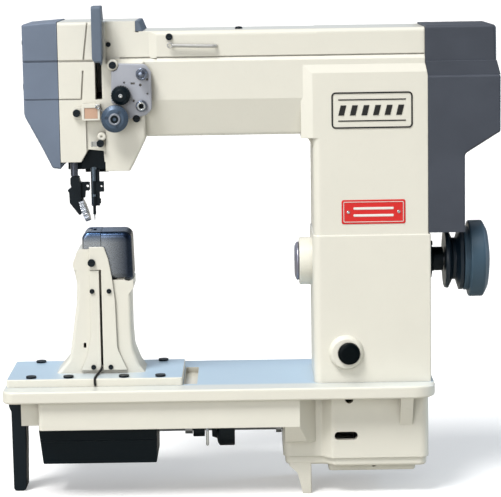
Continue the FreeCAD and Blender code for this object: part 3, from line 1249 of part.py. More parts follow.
def casting_screws():
    """Blackened screws on the plates, covers and brackets, and the plug on top of the arm."""
    plate_places = [(-266, -52), (-221, -52), (-154, -52), (-110, -52), (-263, 43), (-110, 44)]
    screws = [screw_head(x, y, POST_PLATE_TOP, "Z", 6.2, 2.4) for x, y in plate_places]
    cover_left, cover_right = COVER_Y[0] + 1, COVER_Y[0]
    front_places = [(-191.2, cover_right, 286, 4.6, 3), (-191.5, cover_left, 251, 2.9, 1.8),
                    (-171, cover_right, 251, 2.9, 1.8), (-192, cover_left, 157.5, 2.9, 1.8),
                    (-171, cover_right, 157.5, 2.9, 1.8),
                    (PLATE_SCREW[0], PLATE_FRONT + 1, PLATE_SCREW[1], 4.2, 3.2),
                    (-131, FRONT, 462, 4.2, 6), (-201.5, -62.5, 469.5, 4.4, 4),
                    (-174.2, -64.5, 433.5, 4.4, 3.4), (-163, HEAD_BAND_FRONT, 549, 2.8, 2),
                    (-91, BAND_FRONT, 557, 4, 2.5)]
    screws += [screw_head(x, y, z, "Y", r, h) for x, y, z, r, h in front_places]
    top = ARM_TOP
    plug = turned_z([(0, top - 6), (2.9, top - 6), (2.9, top), (4.6, top), (4.2, top + 2.4, 1.5),
                     (0, top + 3.2)], -9, -20)
    return Part.makeCompound(screws + [plug])


def lower_shield():
    """Black sheets that close the head's mouth: one in front of the needle bar, one behind it."""
    y = (28.0, 29.9)
    skirt = box((-221, -200), y, (393.5, HEAD_FLOOR_Z[0] - 0.05))
    rear = join([skirt, box((-200, -171.8), y, (390, HEAD_FLOOR_Z[0] - 0.05)),
                 box((-201.9, -171.8), y, (402, HEAD_FLOOR_Z[1]))])
    front = prism_y([(-198.6, 403), (-196.9, 411.5), (-188.6, 425.5), (-171.4, 423.5), (-170, 408),
                     (-170, 402), (-176, 401), (-184, 404), (-190, 402)], (-46, -43))
    return Part.makeCompound([one_solid(rear), front])


def stitch_button():
    """Stitch-length button with its stem into the column."""
    x, z = BUTTON_CENTRE
    disc = turned_y([(-68, 0), (-68, BUTTON_RADIUS), (-73, BUTTON_RADIUS, 1.5), (-74, 9, 3),
                     (-74, 0)], x, z)
    stem = rod_y(x, (-69, FRONT + 12), z, 5)
    return one_solid(join([disc, stem]))


PARTS = [bed_casting, arm_casting, base_cover, support_leg, gear_cover, post_casting, post_cover_left,
         post_cover_right, throat_plate, face_cover, rear_cover, take_up_guard, tension_plate,
         tension_studs, thread_guide_frame, felt_pad, thread_clip, casting_screws, lower_shield,
         bearing_housing, bearing_cap, shaft_bearings, arm_bushes, shaft_block, timing_belts,
         bobbin_case, presser_spring, take_up_pin, main_shaft, handwheel, v_belt_pulley, main_pulley,
         arm_shaft, arm_pulley, needle_crank, needle_link, lower_shaft, lower_pulley, safety_clutch,
         set_collars, bevel_gear, hook_shaft, rotary_hook, bobbin, feed_wheel, needle_frame,
         needle_bar, needle_bar_clamps, needle, take_up_lever, presser_bar, roller_holder,
         presser_roller, lift_lever, tension_dial, tension_discs, pretension_knob, check_spring,
         stitch_button, hook_cover]


def main():
    os.makedirs("parts", exist_ok=True)
    for make in PARTS:
        shape = make()
        name = make.__name__
        solids = shape.Solids
        ok = shape.isValid() and len(solids) > 0
        shape.exportStep(os.path.join("parts", name + ".step"))
        print(name, "solids", len(solids), "valid" if ok else "INVALID")


main()
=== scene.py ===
import json
import math

import bmesh
import bpy
from mathutils import Matrix, Vector

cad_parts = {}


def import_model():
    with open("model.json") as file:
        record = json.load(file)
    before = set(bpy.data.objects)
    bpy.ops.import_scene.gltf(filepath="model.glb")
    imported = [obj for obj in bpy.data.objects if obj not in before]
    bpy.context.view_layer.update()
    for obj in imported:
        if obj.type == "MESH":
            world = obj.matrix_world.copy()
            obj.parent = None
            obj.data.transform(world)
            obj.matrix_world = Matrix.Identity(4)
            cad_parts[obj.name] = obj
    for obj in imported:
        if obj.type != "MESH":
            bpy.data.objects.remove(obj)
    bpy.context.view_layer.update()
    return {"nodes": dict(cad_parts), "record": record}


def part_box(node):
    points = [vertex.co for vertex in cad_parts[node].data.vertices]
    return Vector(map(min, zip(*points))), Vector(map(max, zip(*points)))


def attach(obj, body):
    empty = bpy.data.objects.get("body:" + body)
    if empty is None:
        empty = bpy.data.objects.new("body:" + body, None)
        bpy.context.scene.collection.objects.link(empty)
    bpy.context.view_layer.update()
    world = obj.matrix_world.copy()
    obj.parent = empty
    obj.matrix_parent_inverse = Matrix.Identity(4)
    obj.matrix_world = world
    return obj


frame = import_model()

MM = 0.001


def mm(*values):
    """A point given in millimetres, in metres."""
    return Vector([v * MM for v in values])


# ---------------------------------------------------------------- node helpers

def srgb(r, g, b):
    """A linear colour from display values."""
    def one(v):
        return v / 12.92 if v <= 0.04045 else ((v + 0.055) / 1.055) ** 2.4
    return (one(r), one(g), one(b), 1.0)


class Tree:
    """Builds a material's node tree, one call per node."""

    def __init__(self, name):
        self.material = bpy.data.materials.new(name)
        self.material.use_nodes = True
        self.tree = self.material.node_tree
        self.tree.nodes.clear()

    def put(self, kind, settings=None, **inputs):
        """Adds a node; inputs are named with underscores for spaces, or with an index as _0."""
        node = self.tree.nodes.new("ShaderNode" + kind)
        for key, value in (settings or {}).items():
            setattr(node, key, value)
        for key, value in inputs.items():
            index = key[1:]
            socket = node.inputs[int(index)] if index.isdigit() else node.inputs[key.replace("_", " ")]
            if isinstance(value, bpy.types.NodeSocket):
                self.tree.links.new(value, socket)
            else:
                socket.default_value = value
        return node

    def value(self, operation, a, b=0.0, clamp=False):
        return self.put("Math", {"operation": operation, "use_clamp": clamp}, _0=a, _1=b).outputs[0]

    def mix(self, factor, a, b, blend="MIX"):
        node = self.tree.nodes.new("ShaderNodeMix")
        node.data_type = "RGBA"
        node.blend_type = blend
        for name, value in (("Factor_Float", factor), ("A_Color", a), ("B_Color", b)):
            socket = [s for s in node.inputs if s.identifier == name][0]
            if isinstance(value, bpy.types.NodeSocket):
                self.tree.links.new(value, socket)
            else:
                socket.default_value = value
        return [s for s in node.outputs if s.identifier == "Result_Color"][0]

    def ramp(self, factor, low, high, a=0.0, b=1.0):
        """Linear map of factor from low..high to a..b, clamped."""
        node = self.put("MapRange", {"clamp": True}, _0=factor, _1=low, _2=high, _3=a, _4=b)
        return node.outputs[0]

    def noise(self, coords, scale, detail=3.0, rough=0.5):
        node = self.put("TexNoise", None, Vector=coords, Scale=scale, Detail=detail, Roughness=rough)
        return node.outputs["Fac"]

    def coords(self, stretch=(1, 1, 1)):
        point = self.put("TexCoord").outputs["Object"]
        return self.put("Mapping", None, Vector=point, Scale=stretch).outputs[0]

    def bump(self, height, strength, distance, normal=None):
        inputs = {"Height": height, "Strength": strength, "Distance": distance}
        if normal is not None:
            inputs["Normal"] = normal
        return self.put("Bump", None, **inputs).outputs[0]

    def edges(self, radius, gain=6.0):
        """(soft normal, mask that is 1 on sharp edges)."""
        soft = self.put("Bevel", {"samples": 4}, Radius=radius).outputs[0]
        flat = self.put("NewGeometry").outputs["Normal"]
        dot = self.put("VectorMath", {"operation": "DOT_PRODUCT"}, _0=soft, _1=flat).outputs["Value"]
        return soft, self.value("MULTIPLY", self.value("SUBTRACT", 1.0, dot), gain, clamp=True)

    def hollows(self, distance):
        """A mask that is 1 in tight corners."""
        node = self.put("AmbientOcclusion", {"samples": 6}, Distance=distance)
        return self.value("SUBTRACT", 1.0, node.outputs["AO"], clamp=True)

    def surface(self, **inputs):
        shader = self.put("BsdfPrincipled", None, **inputs)
        out = self.tree.nodes.new("ShaderNodeOutputMaterial")
        self.tree.links.new(shader.outputs[0], out.inputs[0])
        return self.material


def enamel(name, colour, rough=0.32, grain=0.16, coat=0.35, grime_and_shade=(0.30, 0.27, 0.22), sky_sheen_top=False):
    """Sprayed enamel on a casting: orange peel, faint mottling, rubbed edges, grime and painted shade in
    corners and recesses, and an optional painted sky sheen on top faces.
    """
    t = Tree(name)
    place = t.coords()
    cloud = t.noise(place, 9.0, 4.0, 0.6)
    fine = t.noise(place, 260.0, 2.0, 0.5)
    peel = t.noise(place, 620.0, 2.0, 0.5)
    soft, edge = t.edges(0.0012)
    corner = t.hollows(0.010)
    base = t.mix(t.ramp(cloud, 0.35, 0.70, 0.0, 0.55), colour, [c * 0.93 for c in colour[:3]] + [1])
    base = t.mix(t.ramp(fine, 0.60, 0.80, 0.0, 0.10), base, [c * 0.80 for c in colour[:3]] + [1])
    if sky_sheen_top:
        # painted reflection: upward faces near the bed top take the cool sky sheen
        up = t.put("SeparateXYZ", None, _0=t.put("NewGeometry").outputs["Normal"]).outputs[2]
        height = t.put("SeparateXYZ", None, _0=place).outputs[2]
        along = t.put("SeparateXYZ", None, _0=place).outputs[0]
        low = t.value("MULTIPLY", t.ramp(up, 0.93, 0.99), t.ramp(height, *SHEEN_CEILING))
        low = t.value("MULTIPLY", low, t.ramp(height, *SHEEN_FLOOR))
        clear = t.value("ABSOLUTE", t.value("SUBTRACT", along, BED_SHEEN_MIDDLE))
        low = t.value("MULTIPLY", low, t.ramp(clear, *POST_CLEARANCE, 0.55, 1.0))
        deep = t.put("SeparateXYZ", None, _0=place).outputs[1]
        low = t.value("MULTIPLY", low, t.ramp(deep, *FRONT_EDGE, 0.25, 1.0))
        base = t.mix(low, base, BED_SHEEN)
    # painted shade with grime: tight corners and seams darkened towards the grime-and-shade colour
    base = t.mix(t.ramp(corner, 0.35, 1.0, 0.0, 0.60), base, list(grime_and_shade) + [1])
    # painted shade: deeper recesses, where light is blocked, darkened towards the same colour
    base = t.mix(t.ramp(t.hollows(0.045), 0.42, 0.90, 0.0, 0.75), base, list(grime_and_shade) + [1])
    base = t.mix(t.value("MULTIPLY", edge, 0.35), base, [min(1, c * 1.12 + 0.02) for c in colour[:3]] + [1])
    roughness = t.ramp(cloud, 0.2, 0.8, rough - 0.05, rough + 0.10)
    normal = t.bump(peel, grain, 0.0003, soft)
    return t.surface(Base_Color=base, Roughness=roughness, Normal=normal, Coat_Weight=coat,
                     Coat_Roughness=0.12)


def plastic(name, colour, rough=0.42, grain=0.35, scale=900.0, coat=0.0, shine=0.35):
    """Moulded plastic or crackle paint with a fine pebbled skin and painted shade in tight corners."""
    t = Tree(name)
    place = t.coords()
    cloud = t.noise(place, 14.0, 3.0)
    pebble = t.put("TexVoronoi", {"feature": "F1"}, Vector=place, Scale=scale).outputs["Distance"]
    soft, edge = t.edges(0.0008)
    corner = t.hollows(0.006)
    base = t.mix(t.ramp(cloud, 0.3, 0.7), [c * 0.88 for c in colour[:3]] + [1],
                 [min(1, c * 1.10) for c in colour[:3]] + [1])
    base = t.mix(t.value("MULTIPLY", edge, 0.45), base, [min(1, c * 1.5 + 0.03) for c in colour[:3]] + [1])
    # painted shade: tight corners darkened towards a dark copy of the colour
    base = t.mix(t.ramp(corner, 0.4, 1.0, 0.0, 0.5), base, [c * 0.4 for c in colour[:3]] + [1])
    normal = t.bump(pebble, grain, 0.0002, soft)
    return t.surface(Base_Color=base, Roughness=t.ramp(cloud, 0.2, 0.8, rough - 0.06, rough + 0.08),
                     Normal=normal, Coat_Weight=coat, Coat_Roughness=0.2, Specular_IOR_Level=shine)


def metal(name, colour, rough=0.2, brushed=(1, 1, 1), scratch=0.12, metallic=1.0, tarnish=0.15,
          reflection_bands=()):
    """Worked metal: directional scratches, oily patches, bright edges and optional heat tints.

    Each painted reflection band is (axis, start, end, colour) and darkens the metal from start to end.
    """
    t = Tree(name)
    place = t.coords()
    lines = t.noise(t.coords(brushed), 700.0, 3.0, 0.6)
    patch = t.noise(place, 22.0, 4.0, 0.6)
    soft, edge = t.edges(0.0005)
    corner = t.hollows(0.005)
    base = t.mix(t.ramp(patch, 0.35, 0.75, 0.0, tarnish * 2), colour, [c * 0.6 for c in colour[:3]] + [1])
    split = t.put("SeparateXYZ", None, _0=place)
    # painted reflection: each band shades the metal as a reflection would
    for axis, start, end, tint in reflection_bands:
        base = t.mix(t.ramp(split.outputs[axis], start, end), base, tint, "MULTIPLY")
    base = t.mix(t.value("MULTIPLY", edge, 0.5), base, [min(1, c * 1.3 + 0.05) for c in colour[:3]] + [1])
    # painted shade: tight corners darkened nearly to black
    base = t.mix(t.ramp(corner, 0.4, 1.0, 0.0, 0.7), base, (0.02, 0.018, 0.015, 1))
    roughness = t.value("ADD", t.ramp(patch, 0.2, 0.8, rough * 0.7, rough * 1.4),
                        t.ramp(lines, 0.3, 0.7, -0.04, 0.06), clamp=True)
    normal = t.bump(lines, scratch, 0.0001, soft)
    return t.surface(Base_Color=base, Metallic=metallic, Roughness=roughness, Normal=normal)


# painted reflection: a cool sky sheen painted on the bed's top faces; where it lies in height, beside the
# post and near the front edge
BED_SHEEN = srgb(0.685, 0.785, 0.865)
BED_SHEEN_MIDDLE = -0.184
SHEEN_CEILING = (0.154, 0.152)
SHEEN_FLOOR = (0.1365, 0.1385)
POST_CLEARANCE = (0.035, 0.060)
FRONT_EDGE = (-0.066, -0.056)
CAP_LOW, CAP_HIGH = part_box("hook_cover")
# painted reflection on the polished cap: darker and bluer towards its right side, a blue band along its top
CAP_REFLECTION_BANDS = [(0, CAP_HIGH.x - 0.034, CAP_HIGH.x - 0.006, srgb(0.32, 0.36, 0.43)),
            (2, CAP_HIGH.z - 0.013, CAP_HIGH.z - 0.002, srgb(0.42, 0.55, 0.72))]

MATERIALS = {
    "cream_paint": enamel("cream_enamel", srgb(0.888, 0.880, 0.835), sky_sheen_top=True),
    "blue_grey_paint": plastic("blue_grey_cover", srgb(0.425, 0.475, 0.55), 0.42, 0.25, 1100.0),
    "slate_paint": plastic("slate_cover", srgb(0.265, 0.285, 0.325), 0.46, 0.25, 1100.0, 0.0, 0.30),
    "plate_enamel": enamel("plate_enamel_finish", srgb(0.655, 0.67, 0.71), 0.36, 0.10),
    "black_plastic": plastic("black_box_skin", srgb(0.01, 0.07, 0.10), 0.40, 0.2, 900.0, 0.0, 0.16),
    "black_oxide": metal("blackened_steel", srgb(0.0, 0.07, 0.11), 0.42, (1, 1, 8), 0.2, 0.5, 0.1),
    "dark_wheel_paint": plastic("wheel_paint", srgb(0.215, 0.305, 0.37), 0.42, 0.12, 1500.0, 0.0, 0.40),
    "dial_plastic": metal("dial_finish", srgb(0.27, 0.34, 0.42), 0.34, (1, 1, 1), 0.15, 0.35, 0.1),
    "polished_steel": metal("polished_cap", srgb(0.66, 0.685, 0.72), 0.24, (1, 6, 1), 0.06, 1.0, 0.2,
                            CAP_REFLECTION_BANDS),
    "chrome_plate": metal("bright_chrome", srgb(0.86, 0.88, 0.90), 0.10, (1, 1, 6), 0.04, 1.0, 0.08),
    "ground_steel": metal("ground_bar", srgb(0.70, 0.72, 0.75), 0.20, (1, 1, 30), 0.10, 1.0, 0.12),
    "cast_steel": metal("dark_cast_steel", srgb(0.30, 0.31, 0.34), 0.45, (1, 1, 1), 0.35, 0.6, 0.2),
    "bronze": metal("bush_bronze", srgb(0.72, 0.55, 0.32), 0.30, (8, 1, 1), 0.15),
    "belt_rubber": plastic("belt_rubber_skin", srgb(0.10, 0.10, 0.10), 0.7, 0.5, 700.0),
    "spring_steel": metal("spring_wire", srgb(0.55, 0.56, 0.58), 0.28, (1, 1, 4), 0.1),
    "felt": plastic("oiled_felt", srgb(0.80, 0.66, 0.57), 0.9, 1.0, 2200.0),
    "bobbin_alloy": metal("bobbin_bright", srgb(0.80, 0.81, 0.82), 0.22, (1, 1, 1), 0.1),
}
SPECIAL = {
    "presser_bar": metal("presser_bar_steel", srgb(0.36, 0.38, 0.43), 0.26, (1, 1, 30), 0.10, 1.0, 0.2),
    "tension_studs": metal("tension_post_steel", srgb(0.46, 0.49, 0.55), 0.26, (1, 1, 1), 0.08, 1.0, 0.3),
    "needle_bar": metal("needle_bar_steel", srgb(0.42, 0.48, 0.54), 0.20, (1, 1, 30), 0.08, 1.0, 0.2),
    "dial_ring": metal("dial_ring_steel", srgb(0.58, 0.60, 0.64), 0.30, (1, 1, 1), 0.1, 0.8, 0.2),
    "thread_rod": metal("thread_rod_steel", srgb(0.74, 0.74, 0.73), 0.34, (1, 1, 1), 0.1, 0.55, 0.2),
    "v_belt_pulley": plastic("pulley_paint", srgb(0.07, 0.13, 0.18), 0.34, 0.12, 1500.0, 0.0, 0.40),
    "take_up_guard": plastic("guard_skin", srgb(0.375, 0.425, 0.49), 0.42, 0.25, 1100.0),
    "stitch_button": plastic("button_skin", srgb(0.0, 0.03, 0.045), 0.36, 0.1, 900.0, 0.0, 0.10),
    "bearing_cap": metal("bearing_cap_steel", srgb(0.60, 0.60, 0.66), 0.35, (1, 1, 1), 0.2, 0.8, 0.2),
}
RED = enamel("label_red", srgb(0.84, 0.11, 0.11), 0.35, 0.03, 0.2)
WHITE = enamel("label_white", srgb(0.93, 0.92, 0.90), 0.40, 0.03, 0.2)
INK = enamel("badge_ink", srgb(0.045, 0.05, 0.055), 0.38, 0.05, 0.2)

slot_of = {s["node"]: s["material_slot"] for s in frame["record"]["subparts"]}
for node_name, node in frame["nodes"].items():
    node.data.materials.clear()
    node.data.materials.append(SPECIAL.get(node_name, MATERIALS[slot_of[node_name]]))


# ---------------------------------------------------------------- mesh helpers

def finish_mesh(name, bm, material, body, angle=35.0):
    """Turns a bmesh into a piece that rides on a body, shaded smooth below an angle."""
    bmesh.ops.remove_doubles(bm, verts=bm.verts, dist=1e-7)
    bmesh.ops.recalc_face_normals(bm, faces=bm.faces)
    mesh = bpy.data.meshes.new(name)
    bm.to_mesh(mesh)
    bm.free()
    mesh.polygons.foreach_set("use_smooth", [True] * len(mesh.polygons))
    mesh.set_sharp_from_angle(angle=math.radians(angle))
    mesh.materials.append(material)
    piece = bpy.data.objects.new(name, mesh)
    bpy.context.scene.collection.objects.link(piece)
    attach(piece, body)
    return piece


def rounded(u, v, radius, steps=6):
    """A rounded rectangle's outline as (u, v) points."""
    points = []
    corners = ((u[1], v[1], 0), (u[0], v[1], 1), (u[0], v[0], 2), (u[1], v[0], 3))
    for cu, cv, quarter in corners:
        mu = cu - radius if cu == u[1] else cu + radius
        mv = cv - radius if cv == v[1] else cv + radius
        for i in range(steps + 1):
            a = math.pi / 2 * (quarter + i / steps)
            points.append((mu + radius * math.cos(a), mv + radius * math.sin(a)))
    return points


def slab(bm, outline, back, front, bevel=0.0):
    """A plate in the X-Z plane between two Y values, its front edge bevelled."""
    def ring(y, shrink):
        cu = sum(p[0] for p in outline) / len(outline)
        cv = sum(p[1] for p in outline) / len(outline)
        out = []
        for u, v in outline:
            d = Vector((cu - u, cv - v))
            d = d.normalized() * shrink if d.length > 0 else d
            out.append(bm.verts.new((u + d.x, y, v + d.y)))
        return out
    step = bevel if front > back else -bevel
    rings = [ring(back, 0.0), ring(front - step, 0.0)]
    if bevel:
        rings.append(ring(front, bevel))
    for a, b in zip(rings, rings[1:]):
        for i in range(len(a)):
            j = (i + 1) % len(a)
            bm.faces.new((a[i], a[j], b[j], b[i]))
    bm.faces.new(rings[0])
    bm.faces.new(rings[-1])


def lathe(bm, profile, matrix, count=32):
    """Turns an (axial, radius) profile round a local Z axis placed by a matrix."""
    rings = []
    for z, r in profile:
        if r < 1e-7:
            rings.append([bm.verts.new(matrix @ Vector((0, 0, z)))])
        else:
            rings.append([bm.verts.new(matrix @ Vector((r * math.cos(a), r * math.sin(a), z)))
                          for a in (2 * math.pi * i / count for i in range(count))])
    for a, b in zip(rings, rings[1:]):
        for i in range(count):
            j = (i + 1) % count
            if len(a) == 1:
                bm.faces.new((a[0], b[i], b[j]))
            elif len(b) == 1:
                bm.faces.new((a[i], a[j], b[0]))
            else:
                bm.faces.new((a[i], a[j], b[j], b[i]))


def facing(place, direction):
    """A matrix whose local Z points along a direction, at a place."""
    turn = Vector(direction).to_track_quat("Z", "Y").to_matrix().to_4x4()
    return Matrix.Translation(place) @ turn


def tube(bm, points, radius, count=12):
    """A round wire through points, with closed ends."""
    points = [Vector(p) for p in points]
    side = None
    rings = []
    for i, p in enumerate(points):
        ahead = (points[min(i + 1, len(points) - 1)] - points[max(i - 1, 0)]).normalized()
        if side is None:
            side = ahead.orthogonal().normalized()
        side = (side - ahead * side.dot(ahead)).normalized()
        other = ahead.cross(side)
        rings.append([bm.verts.new(p + (side * math.cos(a) + other * math.sin(a)) * radius)
                      for a in (2 * math.pi * k / count for k in range(count))])
    for a, b in zip(rings, rings[1:]):
        for k in range(count):
            j = (k + 1) % count
            bm.faces.new((a[k], a[j], b[j], b[k]))
    bm.faces.new(rings[0])
    bm.faces.new(rings[-1])


def hex_screw(bm, place, direction, radius, height):
    """A socket-head screw: a chamfered cylinder with a six-sided recess."""
    m = facing(place, direction)
    socket = radius * 0.52
    depth = height * 0.55
    head = [(0, radius), (height * 0.82, radius), (height, radius * 0.86), (height, socket * 1.02)]
    lathe(bm, head, m, 24)
    top = []
    count = 24
    for i in range(count):
        a = 2 * math.pi * i / count
        flat = math.pi / 6
        r = socket * math.cos(flat) / math.cos((a + flat) % (2 * flat) - flat)
        top.append((r * math.cos(a), r * math.sin(a)))
    outer = [bm.verts.new(m @ Vector((socket * 1.02 * math.cos(2 * math.pi * i / count),
                                      socket * 1.02 * math.sin(2 * math.pi * i / count), height)))
             for i in range(count)]
    rim = [bm.verts.new(m @ Vector((x, y, height))) for x, y in top]
    low = [bm.verts.new(m @ Vector((x, y, height - depth))) for x, y in top]
    for a, b in ((outer, rim), (rim, low)):
        for i in range(count):
            j = (i + 1) % count
            bm.faces.new((a[i], a[j], b[j], b[i]))
    bm.faces.new(low)
    base = [bm.verts.new(m @ Vector((radius * math.cos(2 * math.pi * i / count),
                                     radius * math.sin(2 * math.pi * i / count), 0)))
            for i in range(count)]
    bm.faces.new(base)


# ---------------------------------------------------------------- pieces

def add(name, bm, slot, body, material=None, angle=35.0):
    """A finished piece with its slot's material, or one of its own."""
    piece = finish_mesh(name, bm, material or MATERIALS[slot], body, angle)
    return piece


def millimetres(points):
    return [tuple(v * MM for v in p) for p in points]


def screws(name, body, spots, slot="black_oxide"):
    """Socket-head screws at (place, direction, radius, height), in millimetres."""
    bm = bmesh.new()
    for place, direction, radius, height in spots:
        hex_screw(bm, mm(*place), direction, radius * MM, height * MM)
    add(name, bm, slot, body)


def plate(name, outline, back, front, bevel, slot, body="frame", material=None):
    """A bevelled plate in the X-Z plane, from millimetres."""
    bm = bmesh.new()
    slab(bm, millimetres(outline), back * MM, front * MM, bevel * MM)
    add(name, bm, slot, body, material)


def turned(name, place, direction, profile, slot, body, count=48, material=None):
    """A turned piece from (along, radius) pairs in millimetres."""
    bm = bmesh.new()
    lathe(bm, millimetres(profile), facing(mm(*place), direction), count)
    add(name, bm, slot, body, material)


def frame_ring(bm, x, z, radius, width, back, front):
    """A thin rounded rectangular border."""
    outer = rounded(x, z, radius)
    inner = rounded((x[0] + width, x[1] - width), (z[0] + width, z[1] - width), radius - width)
    rings = []
    for y, outline in ((back, outer), (front, outer), (front, inner), (back, inner)):
        rings.append([bm.verts.new(mm(u, y, v)) for u, v in outline])
    for a, b in zip(rings, rings[1:] + rings[:1]):
        for i in range(len(a)):
            j = (i + 1) % len(a)
            bm.faces.new((a[i], a[j], b[j], b[i]))


def badge():
    """A generic badge on the column: a border round a row of slanted stitches."""
    x, z = BADGE_X, BADGE_Z
    bm = bmesh.new()
    frame_ring(bm, x, z, 5.0, 1.8, COLUMN_FACE - 0.02, COLUMN_FACE - 0.7)
    middle = (z[0] + z[1]) / 2
    pitch = (x[1] - x[0] - 14) / 6
    for i in range(6):
        u = x[0] + 7 + pitch * i
        dash = [(u + 1.0, middle - 6), (u + pitch - 6, middle - 6), (u + pitch - 3, middle + 6),
                (u + 4, middle + 6)]
        slab(bm, millimetres(dash), (COLUMN_FACE - 0.02) * MM, (COLUMN_FACE - 0.7) * MM, 0.25 * MM)
    for side in (-1, 1):
        v = middle + side * 12.5
        line = [(x[0] + 8, v - 0.7), (x[1] - 8, v - 0.7), (x[1] - 8, v + 0.7), (x[0] + 8, v + 0.7)]
        slab(bm, millimetres(line), (COLUMN_FACE - 0.02) * MM, (COLUMN_FACE - 0.5) * MM, 0.2 * MM)
    add("badge", bm, "black_plastic", "frame", INK)


def label():
    """A generic red plate: a pale rim line round two plain bars, with a rivet at each end."""
    x, z = LABEL_X, LABEL_Z
    plate("label_base", rounded(x, z, 2.5), COLUMN_FACE - 0.02, COLUMN_FACE - 0.5, 0.2, "plate_enamel",
          "frame", RED)
    bm = bmesh.new()
    front = COLUMN_FACE - 0.5
    frame_ring(bm, (x[0] + 2.2, x[1] - 2.2), (z[0] + 2.2, z[1] - 2.2), 1.6, 0.8, front, front - 0.25)
    middle = (z[0] + z[1]) / 2
    for v in (middle - 4.2, middle + 4.2):
        slab(bm, millimetres(rounded((x[0] + 14, x[1] - 14), (v - 1.5, v + 1.5), 1.2, 4)), front * MM,
             (front - 0.25) * MM, 0.1 * MM)
    add("label_fields", bm, "plate_enamel", "frame", WHITE)
    rivets = [((u, front, middle), (0, -1, 0), 1.9, 1.0) for u in (x[0] + 8, x[1] - 8)]
    screws("label_rivets", "frame", rivets, "chrome_plate")


def thread_rod():
    """Bright thread guide on the arm's upper band: a rod on two feet with an eye at its left end."""
    y = BAND_FACE - 5.5
    bm = bmesh.new()
    bend = [(-36, BAND_FACE + 0.5, 545.6), (-36.4, BAND_FACE - 3, 545.6), (-38, y + 0.6, 545.6),
            (-41, y, 545.7), (-60, y, 546.2), (-84, y, 546.9), (-87.5, y, 547.0)]
    tube(bm, millimetres(smooth_path(bend, 4)), 2.1 * MM, 16)
    eye = [(-90.2 + 2.7 * math.cos(a), y, 547.2 + 2.7 * math.sin(a))
           for a in (2 * math.pi * i / 24 for i in range(25))]
    tube(bm, millimetres(eye), 0.9 * MM, 10)
    tube(bm, millimetres([(-87.3, y, 547), (-87.3, BAND_FACE + 0.5, 547)]), 1.3 * MM, 12)
    add("thread_rod", bm, "chrome_plate", "frame", SPECIAL["thread_rod"])


def lead_wire():
    """Black lead that leaves the slit between the post's cover plates and runs over the base plate."""
    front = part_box("post_casting")[0].y / MM
    top = POST_PLATE_TOP
    points = [(-181.6, -30.5, top + 8.5), (-183, -32, top + 5), (-185.4, -35, top + 1.9),
              (-187.2, -44, top + 1.1), (-188.2, front + 2.5, top + 1.1), (-188.5, front + 0.2, top + 0.6),
              (-188.6, front - 1.0, top - 1.2), (-188.5, front - 1.1, top - 5),
              (-188.1, front - 1.1, top - 8.2)]
    bm = bmesh.new()
    tube(bm, millimetres(smooth_path(points, 5)), 1.4 * MM, 12)
    add("lead_wire", bm, "black_oxide", "frame", MATERIALS["belt_rubber"])


def smooth_path(points, steps):
    """Catmull-Rom points through a path."""
    out = []
    count = len(points)
    for i in range(count - 1):
        p = [Vector(points[max(0, min(count - 1, i + k))]) for k in (-1, 0, 1, 2)]
        for j in range(steps):
            t = j / steps
            a = p[1] * 2
            b = (p[2] - p[0]) * t
            c = (p[0] * 2 - p[1] * 5 + p[2] * 4 - p[3]) * t * t
            d = (p[1] * 3 - p[0] - p[2] * 3 + p[3]) * t * t * t
            out.append((a + b + c + d) / 2)
    return out + [Vector(points[-1])]


